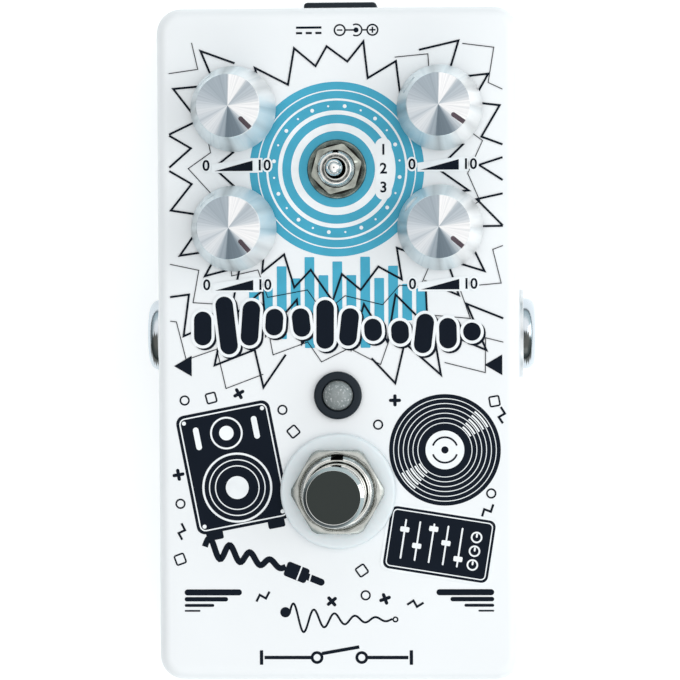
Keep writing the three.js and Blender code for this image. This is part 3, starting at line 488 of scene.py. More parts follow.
# %% [markdown]
# ## Tools for modelling
# Most pieces are round and were turned on a lathe. Blender's spin tool works the same way: half of the
# section is drawn point by point and swept round the axis. Holes are cut with a second solid by a
# Boolean modifier, which is applied at once, and small edges are broken with a Bevel modifier.

# %% Lathe
def only(piece):
    """Makes this object the only one that is selected, and the active one."""
    bpy.ops.object.select_all(action="DESELECT")
    piece.select_set(True)
    bpy.context.view_layer.objects.active = piece


def apply_place(piece):
    only(piece)
    bpy.ops.object.transform_apply(location=True, rotation=True, scale=True)


def oval(centre, wide, high, angles):
    """Points of an oval at these angles, in degrees. In a section they are (distance from the axis, height)."""
    turns = [math.radians(angle) for angle in angles]
    return [(centre[0] + wide * math.cos(turn), centre[1] + high * math.sin(turn)) for turn in turns]


def arc(centre, radius, start, end, steps=6):
    """Points of a round arc in equal steps."""
    return oval(centre, radius, radius, [start + (end - start) * step / steps for step in range(steps + 1)])


def merge_all():
    """In edit mode, merges points that share a place and makes all faces point outwards."""
    bpy.ops.mesh.select_all(action="SELECT")
    bpy.ops.mesh.remove_doubles(threshold=0.002 * mm)
    bpy.ops.mesh.normals_make_consistent(inside=False)


def lathe(name, section, steps=96, closed=False):
    """Sweeps a section of (distance, height) points in millimetres round the Z axis."""
    if closed:
        section = [*section, section[0]]
    bpy.ops.object.select_all(action="DESELECT")
    bpy.ops.mesh.primitive_plane_add(size=mm, location=(section[0][0] * mm, 0, section[0][1] * mm))
    piece = bpy.context.object
    piece.name = name
    apply_place(piece)
    bpy.ops.object.mode_set(mode="EDIT")
    bpy.ops.mesh.select_mode(type="VERT")
    bpy.ops.mesh.select_all(action="SELECT")
    bpy.ops.mesh.merge(type="CENTER")
    for (here, low), (there, high) in zip(section, section[1:]):
        move = ((there - here) * mm, 0, (high - low) * mm)
        bpy.ops.mesh.extrude_vertices_move(TRANSFORM_OT_translate={"value": move})
    bpy.ops.mesh.select_all(action="SELECT")
    bpy.ops.mesh.spin(steps=steps, angle=2 * math.pi, center=(0, 0, 0), axis=(0, 0, 1))
    merge_all()
    bpy.ops.object.mode_set(mode="OBJECT")
    return piece


# %% Blocks, pegs and cuts
def boolean(piece, other, operation="DIFFERENCE"):
    """Cuts, joins or intersects a piece with another solid, which is used up."""
    only(piece)
    step = piece.modifiers.new("boolean", "BOOLEAN")
    step.operation = operation
    step.object = other
    step.solver = "EXACT"
    bpy.ops.object.modifier_apply(modifier=step.name)
    bpy.data.objects.remove(other)


def soften(piece, width, segments=2, angle=35):
    """Breaks every edge that is sharper than the angle, by this width in millimetres."""
    only(piece)
    step = piece.modifiers.new("soften", "BEVEL")
    step.width = width * mm
    step.segments = segments
    step.limit_method = "ANGLE"
    step.angle_limit = math.radians(angle)
    bpy.ops.object.modifier_apply(modifier=step.name)
    return piece


def block(name, low, high):
    """A cube primitive stretched between two corners in millimetres."""
    bpy.ops.object.select_all(action="DESELECT")
    low, high = Vector(low), Vector(high)
    bpy.ops.mesh.primitive_cube_add(size=1, location=(low + high) / 2 * mm, scale=(high - low) * mm)
    piece = bpy.context.object
    piece.name = name
    apply_place(piece)
    return piece


def peg(name, radius, low, high, sides=64):
    """A round bar on the Z axis, for cutting or joining."""
    bpy.ops.object.select_all(action="DESELECT")
    bpy.ops.mesh.primitive_cylinder_add(vertices=sides, radius=radius * mm, depth=(high - low) * mm,
                                        location=(0, 0, (low + high) / 2 * mm))
    piece = bpy.context.object
    piece.name = name
    apply_place(piece)
    return piece


def placed(piece, place=(0, 0, 0), turn=(0, 0, 0)):
    """Turns a piece, in degrees, then moves it, in millimetres, and writes both into its mesh."""
    piece.rotation_euler = [math.radians(angle) for angle in turn]
    piece.location = Vector(place) * mm
    apply_place(piece)
    return piece


def stand(piece, spot, turn=0):
    """Moves a piece from the Z axis to a spot on the face, turned by this many degrees."""
    return placed(piece, (spot.x, spot.y, 0), (0, 0, turn))


def drill(piece, spot, radius, low, high):
    """Bores an upright hole between two heights."""
    boolean(piece, stand(peg("hole", radius, low, high), spot))


def copy_of(piece):
    twin = piece.copy()
    twin.data = piece.data.copy()
    bpy.context.scene.collection.objects.link(twin)
    return twin


def remove_masters(*pieces):
    """Removes pieces that were only there to be copied."""
    for piece in pieces:
        bpy.data.objects.remove(piece)


# %% Names, finishes and edges
def dress(piece, name, body, finish, slot, *nodes, angle=32):
    """Names a finished piece, shades and paints it, and ties it to the frame."""
    only(piece)
    piece.name = name
    piece.data.name = name
    bpy.ops.object.shade_smooth_by_angle(angle=math.radians(angle))
    piece.data.materials.clear()
    piece.data.materials.append(finish.material)
    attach(piece, body)
    if nodes:
        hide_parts(*nodes)
    print(f"{name}: {len(piece.data.polygons)} faces")
    return piece


def paint(piece, finish, test):
    """Gives another finish to the faces whose middle, in millimetres, and normal pass a test."""
    piece.data.materials.append(finish.material)
    for face in piece.data.polygons:
        if test(face.center / mm, face.normal):
            face.material_index = len(piece.data.materials) - 1


def pick(kind, test):
    """In edit mode, selects only the faces or edges that pass a test."""
    bpy.ops.mesh.select_mode(type=kind)
    bpy.ops.mesh.select_all(action="DESELECT")
    shape = bmesh.from_edit_mesh(bpy.context.object.data)
    for part in (shape.faces if kind == "FACE" else shape.edges):
        part.select_set(test(part))
    bmesh.update_edit_mesh(bpy.context.object.data)


def running(axis, least):
    """A test for edges that go further than this along an axis, in millimetres."""
    return lambda edge: abs((edge.verts[0].co - edge.verts[1].co)[axis]) > least * mm


def beyond(axis, limit, side=1):
    """A test for edges that lie wholly past a limit along an axis, on its upper or lower side."""
    return lambda edge: all((vert.co[axis] - limit * mm) * side > 0 for vert in edge.verts)


def round_edges(test, width, segments):
    """In edit mode, bevels the edges that pass a test."""
    pick("EDGE", test)
    bpy.ops.mesh.bevel(offset=width * mm, segments=segments, affect="EDGES")


# %% [markdown]
# ## The box
# The real box is cast in one piece with walls that lean in so that it leaves its mould, round corners and
# a soft upper edge. A cube is a good start: its top is shrunk, its upright edges and its upper rim are
# bevelled, and the open underside is inset and pushed up to hollow it. The holes are then cut.

# %% Box shell
cover_top = box_low.z
lean = 0.45
corner_radius = 4.0
rim_radius = 2.0
wall = 2.0
roof = 2.2

shell = block("shell", box_low, box_high)
bpy.ops.object.mode_set(mode="EDIT")
pick("FACE", lambda face: face.normal.z > 0.9)
size = box_high - box_low
shrink = ((size.x - 2 * lean) / size.x, (size.y - 2 * lean) / size.y, 1)
centre = (0, face_middle.y * mm, box_high.z * mm)
bpy.ops.transform.resize(value=shrink, center_override=centre)
round_edges(running(2, 5), corner_radius, 12)
round_edges(beyond(2, box_high.z - hair), rim_radius, 8)
pick("FACE", lambda face: face.normal.z < -0.9)
bpy.ops.mesh.inset(thickness=wall * mm)
bpy.ops.mesh.extrude_region_move(TRANSFORM_OT_translate={"value": (0, 0, (size.z - roof) * mm)})
bpy.ops.transform.resize(value=shrink, center_override=centre)
bpy.ops.object.mode_set(mode="OBJECT")
print("box shell:", len(shell.data.polygons), "faces")

# %% Holes and screw posts of the box
post_radius, post_hole = 4.0, 1.6
screw_nodes = [f"cover_screw_{number}" for number in range(1, 5)]
for node in screw_nodes:
    spot = middle_mm(node)
    boolean(shell, stand(peg("post", post_radius, cover_top + hair, face_height - 1), spot), "UNION")
    drill(shell, spot, post_hole, cover_top - 1, cover_top + 10)
knob_names = ["feedback", "time", "mix", "boost"]
roof_holes = {f"{knob_name}_shaft": 3.65 for knob_name in knob_names}
roof_holes |= {"toggle_washer": 3.15, "lamp_bezel": 3.5, "footswitch_washer": 6.15}
for node, radius in roof_holes.items():
    drill(shell, middle_mm(node), radius, face_height - 5, face_height + 2)

jack_spot = middle_mm("input_jack_nut")
jack_hole = 4.85
for turn in (90, -90):
    boolean(shell, placed(peg("hole", jack_hole, 20, 40), (0, jack_spot.y, jack_spot.z), (0, turn, 0)))
socket_low, socket_high = box_mm("power_socket")
socket_middle = middle_mm("power_socket")
opening_x, opening_z = 4.65, 5.55
boolean(shell, block("hole", (-opening_x, box_high.y - 6, socket_middle.z - opening_z),
                     (opening_x, box_high.y + 2, socket_middle.z + opening_z)))
dress(shell, "box_shell", "box", white_paint, "white_paint", "enclosure", angle=25)

# %% [markdown]
# ## Cover, screws and feet
# The underside is a flat painted plate held by four countersunk screws, with a stick-on rubber foot near
# each corner. The plate starts as a cube whose corners and lower edge are bevelled. Each screw is turned
# and has a cross cut into its head; each foot is turned with a round edge.

# %% Bottom cover
cover_low, cover_high = box_mm("bottom_cover")
screw_low, screw_high = box_mm("cover_screw_1")
lip_gap = wall + 0.3
lip_wall = 1.5
sink_radius, shank_hole = 3.15, 1.65


def cover_block(name, gap, low, high):
    """A block between two heights that is as big as the cover, but for a gap on all sides."""
    return block(name, (cover_low.x + gap, cover_low.y + gap, low), (cover_high.x - gap, cover_high.y - gap, high))


cover = cover_block("cover", 0, cover_low.z, cover_top)
bpy.ops.object.mode_set(mode="EDIT")
round_edges(running(2, 1), corner_radius, 12)
round_edges(beyond(2, cover_low.z + hair, -1), 0.5, 4)
bpy.ops.object.mode_set(mode="OBJECT")
lip = cover_block("lip", lip_gap, cover_top - 0.2, cover_high.z)
boolean(lip, cover_block("hollow", lip_gap + lip_wall, cover_top - 1, cover_high.z + 1))
boolean(cover, lip, "UNION")
for node in screw_nodes:
    spot = middle_mm(node)
    drill(cover, spot, post_radius + 0.3, cover_top, cover_high.z + 1)
    sink = lathe("sink", [(0, cover_low.z - 1), (sink_radius, cover_low.z - 1), (sink_radius, screw_low.z),
                          (shank_hole, screw_low.z + 1.5), (shank_hole, cover_top + 2), (0, cover_top + 2)], 48)
    boolean(cover, stand(sink, spot))
dress(cover, "cover_plate", "box", white_paint, "white_paint", "bottom_cover", angle=25)

# %% Cover screws and feet
shank, core, head = 1.5, 1.3, 3.0
thread_pitch = 0.5
thread = []
height = screw_low.z + 2.2
while height < screw_high.z - 1.2:
    thread += [(shank, height), (core, height + thread_pitch / 2)]
    height += thread_pitch
screw = lathe("screw", [
    (0, screw_low.z), *arc((head - 0.15, screw_low.z + 0.15), 0.15, -90, 0, 3), (shank, screw_low.z + 1.55),
    *thread, (core, screw_high.z - 0.8), (0.7, screw_high.z), (0, screw_high.z),
], 48)
cross_half, cross_reach, cross_depth = 0.4, 1.7, 1.1
for turn in (0, 90):
    slot = block("slot", (-cross_half, -cross_reach, screw_low.z - 1),
                 (cross_half, cross_reach, screw_low.z + cross_depth))
    boolean(screw, placed(slot, turn=(0, 0, turn)))
foot_high = box_mm("foot_1")[1]
foot_radius, foot_round = radius_mm("foot_1"), 0.7
foot = lathe("foot", [
    (0, 0.25), (1.6, 0.25), (2.1, 0.0), *arc((foot_radius - foot_round, foot_round), foot_round, -90, 0),
    (foot_radius, foot_high.z - 0.2), (foot_radius - 0.1, foot_high.z), (0, foot_high.z),
], 64)
for number, node in enumerate(screw_nodes, 1):
    dress(stand(copy_of(screw), middle_mm(node), 23 * number), f"plate_screw_{number}", "box", zinc_steel, "steel",
          node)
    dress(stand(copy_of(foot), middle_mm(f"foot_{number}")), f"rubber_foot_{number}", "box", soft_rubber, "rubber",
          f"foot_{number}")
remove_masters(screw, foot)

# %% [markdown]
# ## Knobs
# Each knob is a cone turned from bar, with a diamond-cut rim round a nearly flat top, a milled pointer
# groove filled with dark paint, a bore for the shaft and a threaded hole for the grub screw. One knob is
# modelled on the Z axis and copied to the four shafts, each turned to the angle of its pointer.

# %% One knob
knob_base, knob_top = (corner.z for corner in box_mm("feedback_knob"))
skirt_radius = 7.05
rim_outer, rim_inner = 5.2, 5.1
rim_drop, top_drop = 0.2, 0.12
shaft_bore, bore_top = 3.08, 9.6
recess, recess_depth = 6.05, 3.0

knob = lathe("knob", [
    (0, knob_base + bore_top), (shaft_bore, knob_base + bore_top), (shaft_bore, knob_base + recess_depth),
    (recess, knob_base + recess_depth), (recess, knob_base + 0.1), (recess + 0.1, knob_base),
    *arc((skirt_radius - 0.3, knob_base + 0.3), 0.3, -90, 8, 5),
    (rim_outer, knob_top - rim_drop), (rim_outer - 0.05, knob_top - rim_drop + 0.05),
    (rim_inner + 0.04, knob_top - top_drop - 0.02), (rim_inner, knob_top - top_drop),
    (0.02, knob_top), (0, knob_top),
], 128)

# %% Pointer groove and grub hole
pointer_half, pointer_start, pointer_depth = 0.38, 2.6, 0.5
grub_radius, grub_height = 1.6, 6.2
groove_floor = knob_top - pointer_depth
pointer_middle = pointer_start + pointer_half
groove = block("groove", (-pointer_half, pointer_middle, groove_floor), (pointer_half, rim_outer + 1, knob_top + 1))
boolean(groove, placed(peg("start", pointer_half, groove_floor, knob_top + 1, 32), (0, pointer_middle, 0)), "UNION")
inlay = copy_of(groove)
boolean(knob, groove)
boolean(knob, placed(peg("hole", grub_radius, 0, skirt_radius + 1, 48), (0, 0, knob_base + grub_height), (90, 0, 0)))
boolean(inlay, lathe("limit", [(0, groove_floor - 0.1), (rim_outer - 0.1, groove_floor - 0.1),
                               (rim_outer - 0.12, groove_floor + 0.12), (0, groove_floor + 0.32)], 96), "INTERSECT")
print("one knob:", len(knob.data.polygons), "faces")

# %% Four knobs
for knob_name in knob_names:
    pointer = sum(joint_of(f"{knob_name}_turn")["range_deg"]) / 2
    spot = middle_mm(f"{knob_name}_knob")
    spun = spun_aluminium(f"spun_aluminium_{knob_name}", (spot.x, spot.y, 0))
    skirt = turned_skirt(f"turned_skirt_{knob_name}", (spot.x, spot.y, 0))
    made = dress(stand(copy_of(knob), spot, -pointer), f"{knob_name}_turned_knob", f"{knob_name}_control", skirt,
                 "aluminium", f"{knob_name}_knob", angle=20)
    paint(made, spun, lambda middle, normal: normal.z > 0.9 and middle.z > knob_top - 0.2)
    dress(stand(copy_of(inlay), spot, -pointer), f"{knob_name}_pointer", f"{knob_name}_control", pointer_paint,
          "black_plastic")
remove_masters(knob, inlay)


# %% [markdown]
# ## Nuts
# A nut is a slice of hexagon bar whose corners were turned down on a lathe. The same order works here: a
# six-sided cylinder is intersected with a turned crown, bored out with a small countersink, and its
# edges are broken.

# %% Hexagon nut and thread
def hex_nut(flats, low, high, bore, turn, corner, slope, land):
    """A nut of this size across its flats. Its crown falls from a face narrower by the land to the corners."""
    nut = placed(peg("nut", flats / math.sqrt(3), low, high, 6), turn=(0, 0, turn + 90))
    face_radius = flats / 2 - land
    boolean(nut, lathe("crown", [(0, low - 1), (corner, low - 1), (corner, high - (corner - face_radius) * slope),
                                 (face_radius, high), (0, high)]), "INTERSECT")
    countersink = 0.25
    boolean(nut, lathe("bore", [(0, low - 1), (bore, low - 1), (bore, high - countersink),
                                (bore + countersink + 0.5, high + 0.5), (0, high + 0.5)]))
    return soften(nut, 0.06, 2, 30)


def threaded(radius, low, high, pitch=0.5, depth=0.22):
    """Points of a threaded flank from low to high."""
    points = []
    turns = int((high - low) / pitch)
    for number in range(turns):
        start = low + number * pitch
        points += [(radius - depth, start), (radius, start + pitch * 0.4), (radius, start + pitch * 0.6)]
    return [*points, (radius - depth, low + turns * pitch)]


# %% [markdown]
# ## Toggle switch
# A threaded bushing comes up through the roof, held by a flat washer and a small nut. The lever has a ball
# in the bushing and a bat-shaped end. Everything here is turned, apart from the nut and the slot for a
# keyed washer. The dark line where nut and washer meet, and the dark mouth and keyway, are painted shade.

# %% Toggle washer and nut
toggle = middle_mm("toggle_washer")
washer_low, washer_high = box_mm("toggle_washer")
washer_radius, washer_bore = radius_mm("toggle_washer"), 3.15
under_nut = 4.12
flat_washer = lathe("flat_washer", [
    (washer_bore, washer_low.z), (washer_radius - 0.1, washer_low.z),
    *arc((washer_radius - 0.3, washer_high.z - 0.3), 0.3, 0, 90, 6),
    (under_nut, washer_high.z), (3.3, washer_high.z), (washer_bore, washer_high.z - 0.1),
], closed=True)
dress(stand(flat_washer, toggle), "toggle_flat_washer", "box", dull_nickel, "nickel", "toggle_washer")
# The washer's top under the nut gets the near-black: painted shade that shows between the nut's flats.
paint(flat_washer, painted_shade, lambda middle, normal: normal.z > 0.9 and off_axis(middle, toggle) < under_nut - 0.05)
nut = hex_nut(flats=7.5, low=washer_high.z, high=box_mm("toggle_nut")[1].z, bore=2.9, turn=15, corner=4.22,
              slope=0.42, land=0.6)
dress(stand(nut, toggle), "toggle_hex_nut", "box", worn_nickel, "nickel", "toggle_nut")

# %% Toggle bushing and case
case_low, case_high = box_mm("toggle_case")
case_x, case_y, case_floor, case_roof = 3.45, 6.35, 22.35, 31.25
bushing_radius, bushing_low = 3.0, 29.5
mouth_radius, mouth_low = 1.68, case_high.z - 0.9
hollow_radius, hollow_low, pivot_top = 2.1, 32.3, 33.5
bushing = lathe("bushing", [
    (0, bushing_low), (bushing_radius - 0.2, bushing_low),
    *threaded(bushing_radius, bushing_low + 0.5, case_high.z - 0.45),
    (bushing_radius - 0.22, case_high.z - 0.4), *arc((bushing_radius - 0.6, case_high.z - 0.3), 0.3, 0, 90, 4),
    *arc((mouth_radius + 0.12, case_high.z - 0.12), 0.12, 90, 180, 4), (mouth_radius, mouth_low),
    (hollow_radius, mouth_low - 0.1), (hollow_radius, 31.5), (0, 31.5),
])
key_half, key_depth = 0.5, 0.42
boolean(bushing, block("keyway", (-key_half, bushing_radius - key_depth, washer_high.z),
                       (key_half, bushing_radius + 1, case_high.z + 1)))
boolean(bushing, soften(block("body", (-case_x, -case_y, case_floor), (case_x, case_y, case_roof)), 0.3), "UNION")
boolean(bushing, lathe("chamber", [(0, hollow_low), (hollow_radius, hollow_low), (hollow_radius, pivot_top),
                                   (0, pivot_top)], 64))
lug_x, lug_y, lug_pitch = 0.8, 0.35, 4.7
for row in (-lug_pitch, 0, lug_pitch):
    boolean(bushing, block("lug", (-lug_x, row - lug_y, case_low.z), (lug_x, row + lug_y, 23)), "UNION")
dress(stand(bushing, toggle), "toggle_body", "box", bright_nickel, "nickel", "toggle_case")
# The inside of the bushing's mouth and its keyway get the near-black: painted shade in the hollows.
paint(bushing, painted_shade, lambda middle, normal: 31 < middle.z < case_high.z - 0.05 and (
    off_axis(middle, toggle) < 2.2 or abs(middle.x - toggle.x) < key_half + hair and middle.y - toggle.y > 2.5))

# %% Toggle lever
lever_low, lever_high = box_mm("toggle_lever")
pivot, ball_radius = 35.9, 1.8
tip_radius = 1.35
lever = lathe("lever", [
    (0, lever_low.z), (0.8, lever_low.z), *arc((0, pivot), ball_radius, -63, 58, 14),
    (0.98, pivot + 2.4), (tip_radius - 0.02, lever_high.z - 2.3),
    *arc((0, lever_high.z - tip_radius), tip_radius, -8, 90, 12),
], 64)
dress(stand(lever, toggle), "toggle_bat", "toggle_lever", polished_nickel, "nickel", "toggle_lever")

# %% [markdown]
# ## Lamp
# A five-millimetre lamp sits in a black press-in bezel. The lens is a milky dome with a rim, and under it
# stands the small cup that carries the chip.

# %% Lamp and bezel
lamp = middle_mm("lamp_bezel")
bezel_low, bezel_high = box_mm("lamp_bezel")
lamp_low, lamp_high = box_mm("lamp")
bezel_radius, bezel_bore = radius_mm("lamp_bezel"), 2.58
sleeve_inner, sleeve_outer, seat = 2.98, 3.35, face_height - 3.3
bezel = lathe("bezel", [
    (bezel_bore, seat), (sleeve_inner, seat), (sleeve_inner, bezel_low.z), (sleeve_outer, bezel_low.z),
    (sleeve_outer, face_height), (bezel_radius - 0.08, face_height), (bezel_radius, face_height + 0.08),
    *arc((bezel_radius - 0.5, bezel_high.z - 0.5), 0.5, 0, 90), (2.85, bezel_high.z),
    *arc((2.85, bezel_high.z - 0.27), 0.27, 90, 180, 4),
], closed=True)
dress(stand(bezel, lamp), "lamp_ring", "box", black_plastic, "black_plastic", "lamp_bezel")

lens_radius, lens_rim = 2.5, 2.9
rim_low = face_height - 4.4
lens = lathe("lens", [
    (0, rim_low), (lens_rim, rim_low), (lens_rim, rim_low + 0.9), (lens_radius, rim_low + 1),
    *arc((0, lamp_high.z - lens_radius), lens_radius, 0, 90, 16),
], 80)
lead_row, lead_half = 1.27, 0.25
for row in (-lead_row, lead_row):
    boolean(lens, block("lead", (row - lead_half, -lead_half, lamp_low.z),
                        (row + lead_half, lead_half, rim_low + 0.1)), "UNION")
dress(stand(lens, lamp), "lamp_lens", "box", clear_lens, "clear_lens", "lamp")
cup = lathe("cup", [(0, rim_low + 0.3), (0.5, rim_low + 0.3), (0.5, rim_low + 2.6), (0.95, rim_low + 3.5),
                    (0.85, rim_low + 3.5), (0.45, rim_low + 2.9), (0, rim_low + 2.9)], 40)
cup_shift = 0.35
dress(placed(cup, (lamp.x + cup_shift, lamp.y, 0)), "lamp_cup", "box", can_aluminium, "aluminium")

# %% [markdown]
# ## Footswitch
# The footswitch is the biggest control: a white nylon washer saves the paint, then come a nut and a thick
# threaded bushing with a keyway, and the polished button stands high in it. All but the nut is turned.

# %% Footswitch washer and nut
switch = middle_mm("footswitch_washer")
pad_low, pad_high = box_mm("footswitch_washer")
pad_radius, pad_bore, pad_round = radius_mm("footswitch_washer"), 6.12, 0.6
tube_radius, tube_bore = 6.0, 5.05
pad = lathe("pad", [
    (pad_bore, pad_low.z), (pad_radius - 0.15, pad_low.z), (pad_radius, pad_low.z + 0.15),
    *arc((pad_radius - pad_round, pad_high.z - pad_round), pad_round, 0, 90),
    (6.5, pad_high.z), (pad_bore, pad_high.z - 0.2),
], 128, closed=True)
dress(stand(pad, switch), "nylon_pad", "box", milky_nylon, "nylon", "footswitch_washer")
nut = hex_nut(flats=13.75, low=pad_high.z, high=box_mm("footswitch_nut")[1].z, bore=tube_radius + 0.05, turn=0,
              corner=7.65, slope=0.5, land=0.1)
dress(stand(nut, switch), "footswitch_hex_nut", "box", satin_nickel, "nickel", "footswitch_nut")

# %% Footswitch tube
tube_low, tube_high = box_mm("footswitch_bushing")
lip_middle, lip_half, lip_rise = 5.4, 0.35, 0.3
plate_half, plate_thick = 8.6, 1
tube = lathe("tube", [
    (tube_bore, tube_low.z + 0.5), (tube_radius, tube_low.z + 0.5),
    *threaded(tube_radius, tube_low.z + 1.2, tube_high.z - 0.45, 0.7, 0.3),
    *oval((lip_middle, tube_high.z - lip_rise), lip_half, lip_rise, range(0, 181, 15)),
], 128, closed=True)
plate = block("plate", (-plate_half, -plate_half, tube_low.z), (plate_half, plate_half, tube_low.z + plate_thick))
boolean(plate, peg("hole", tube_bore, tube_low.z - 1, tube_low.z + 2, 96))
boolean(tube, plate, "UNION")
key_half = 1
boolean(tube, block("keyway", (-key_half, tube_bore + 0.3, pad_high.z), (key_half, tube_radius + 1, tube_high.z + 1)))
dress(stand(tube, switch), "footswitch_tube", "box", bright_nickel, "nickel", "footswitch_bushing")
# The keyway's walls and floor get the near-black: painted shade in the slot.
paint(tube, painted_shade, lambda middle, normal: middle.z > pad_high.z - 0.1 and abs(middle.x) < key_half + hair
      and middle.y - switch.y > tube_bore - 0.2 and abs(normal.z) < 0.5 or abs(middle.z - pad_high.z) < hair)

# %% Footswitch button
button_low, button_high = box_mm("footswitch_button")
button_radius, button_flat = 4.97, 4.25
flange_radius, flange_thick = 6.4, 1.2
button = lathe("button", [
    (0, button_low.z), (flange_radius, button_low.z), (flange_radius, button_low.z + flange_thick),
    (button_radius, button_low.z + flange_thick), (button_radius, button_high.z - 0.75),
    *arc((button_radius - 0.2, button_high.z - 0.6), 0.2, 0, 60, 4),
    *arc((button_flat + 0.11, button_high.z - 0.05), 0.05, 40, 90, 3),
    (button_flat, button_high.z), (0.02, button_high.z), (0, button_high.z),
], 128)
dress(stand(button, switch), "footswitch_cap", "footswitch_button", polished_nickel, "nickel", "footswitch_button",
      angle=18)

# %% [markdown]
# The button stands on a coil spring. The wire's section is a flat disc, wound up by a Screw modifier. The
# spring can't move as a rigid piece does; the share of its length that it keeps with the button down is worked out
# here.

# %% Return spring
spring_low, spring_high = box_mm("footswitch_spring")
spring_height = spring_high.z - spring_low.z
wire_radius = 0.4
coil_radius = radius_mm("footswitch_spring") - wire_radius
curls = 5
bpy.ops.object.select_all(action="DESELECT")
bpy.ops.mesh.primitive_circle_add(vertices=12, radius=wire_radius * mm, fill_type="NGON",
                                  location=(coil_radius * mm, 0, (spring_low.z + wire_radius) * mm),
                                  rotation=(math.pi / 2, 0, 0))
coil = bpy.context.object
apply_place(coil)
wind = coil.modifiers.new("wind", "SCREW")
wind.angle = 2 * math.pi
wind.screw_offset = (spring_height - 2 * wire_radius) / curls * mm
wind.iterations = curls
wind.steps = wind.render_steps = 32
bpy.ops.object.modifier_apply(modifier=wind.name)
bpy.ops.object.mode_set(mode="EDIT")
merge_all()
bpy.ops.object.mode_set(mode="OBJECT")
dress(stand(coil, switch), "return_spring", "box", zinc_steel, "steel", "footswitch_spring", angle=60)
stroke_length = joint_of("footswitch_press")["range_m"][1]
spring_keep = 1 - stroke_length / spring_height / mm
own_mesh(coil)
print("spring keeps", round(spring_keep, 3), "of its length")

# %% [markdown]
# ## Jacks
# A quarter-inch jack sits inside each side wall, held by a flat washer and a domed nut outside. The nut is
# turned with a round shoulder and a small recess, in which the end of the black threaded sleeve shows.
# One jack is modelled on the Z axis and laid to each side. The wall leans, so the washer's inner part
# reaches a little further in and is painted, and no slit shows.

# %% One jack: nut and washer
jack_nut_low, jack_nut_high = box_mm("input_jack_nut")
jack_nut_radius, nut_face, nut_rim = radius_mm("input_jack_nut", 2), 4.3, 0.3
jack_bore, sleeve_radius = 3.25, 4.7
domed = lathe("domed", [
    (sleeve_radius + 0.1, jack_nut_low.x), (jack_nut_radius, jack_nut_low.x),
    (jack_nut_radius, jack_nut_low.x + nut_rim),
    *oval((nut_face, jack_nut_low.x + nut_rim), jack_nut_radius - nut_face, 1.7, range(9, 91, 9)),
    (jack_bore + 0.15, jack_nut_high.x), (jack_bore, jack_nut_high.x - 0.1), (jack_bore, jack_nut_high.x - nut_rim),
    (sleeve_radius + 0.1, jack_nut_high.x - nut_rim),
], closed=True)
ring_low, ring_high = box_mm("input_jack_washer")
ring_radius, ring_bore = radius_mm("input_jack_washer", 2), sleeve_radius + 0.15
wall_face = ring_low.x - 0.26
flat_ring = lathe("flat_ring", [
    (ring_bore, wall_face), (ring_radius - 0.05, wall_face), (ring_radius - 0.05, ring_low.x),
    (ring_radius, ring_low.x), (ring_radius, ring_high.x - 0.1), (ring_radius - 0.1, ring_high.x),
    (ring_bore, ring_high.x),
], closed=True)

# %% One jack: case
jack_low, jack_high = box_mm("input_jack")
jack_wall = 27.697
jack_case = block("jack_case", (-6.5, -7, jack_low.x), (6.5, 7, jack_wall))
soften(jack_case, 0.8, 3)
sleeve = lathe("sleeve", [
    (0, jack_wall - 1), (sleeve_radius - 0.2, jack_wall - 1),
    *threaded(sleeve_radius, jack_wall, jack_high.x - 0.5, 0.8, 0.25), (sleeve_radius - 0.3, jack_high.x),
    (0, jack_high.x),
])
boolean(jack_case, sleeve, "UNION")
boolean(jack_case, peg("bore", jack_bore, jack_low.x - 1, jack_high.x + 1))
boolean(jack_case, block("slot", (2.25, -1.5, 5.4), (9, 1.5, 23)))

# %% Two jacks
spot_shift = 0.4
for name, lay, half_turn in (("input", 90, 180), ("output", -90, 0)):
    at = {"place": (0, jack_spot.y, jack_spot.z), "turn": (0, lay, 0)}
    case_copy = placed(copy_of(jack_case), turn=(0, 0, half_turn))
    dress(placed(case_copy, **at), f"{name}_jack_case", "box", black_plastic, "black_plastic", f"{name}_jack")
    spot = middle_mm(f"{name}_jack_nut")
    spot.x -= math.copysign(spot_shift, spot.x)
    chrome = shaded_chrome(f"shaded_chrome_{name}", spot)
    dress(placed(copy_of(domed), **at), f"{name}_domed_nut", "box", chrome, "nickel", f"{name}_jack_nut")
    ring_copy = dress(placed(copy_of(flat_ring), **at), f"{name}_flat_washer", "box", can_aluminium, "nickel",
                      f"{name}_jack_washer")
    paint(ring_copy, white_paint, lambda middle, normal: abs(middle.x) < ring_low.x - hair)
remove_masters(jack_case, domed, flat_ring)

# %% [markdown]
# ## Power socket
# Only the black flange of the power socket stands out of the end wall, with the round hole for the plug and
# its centre pin. It starts as a cube with bevelled edges and is bored out.

# %% Power socket
flange_start, flange_end = socket_high.y - 1.9, socket_high.y - 0.4
flange_half, inner_x, inner_half = 5.8, 4.5, 5.4
flange = block("flange", (socket_low.x, flange_start, socket_middle.z - flange_half),
               (socket_high.x, flange_end, socket_middle.z + flange_half))
bpy.ops.object.mode_set(mode="EDIT")
round_edges(running(1, 1), 0.8, 5)
round_edges(beyond(1, flange_end - hair), 0.6, 4)
bpy.ops.object.mode_set(mode="OBJECT")
boolean(flange, block("inner", (-inner_x, socket_low.y, socket_middle.z - inner_half),
                      (inner_x, flange_start + 0.1, socket_middle.z + inner_half)), "UNION")
plug_hole = lathe("plug_hole", [(0, -10), (3.1, -10), (3.1, -0.4), (3.6, 0.1), (3.6, 1), (0, 1)], 72)
boolean(flange, placed(plug_hole, (0, flange_end, socket_middle.z), (-90, 0, 0)))
for leg in (-3.5, 3.5):
    boolean(flange, block("leg", (leg - 1, socket_low.y, socket_middle.z + 5),
                          (leg + 1, socket_low.y + 2, socket_high.z)), "UNION")
dress(flange, "socket_flange", "box", black_plastic, "black_plastic", "power_socket")

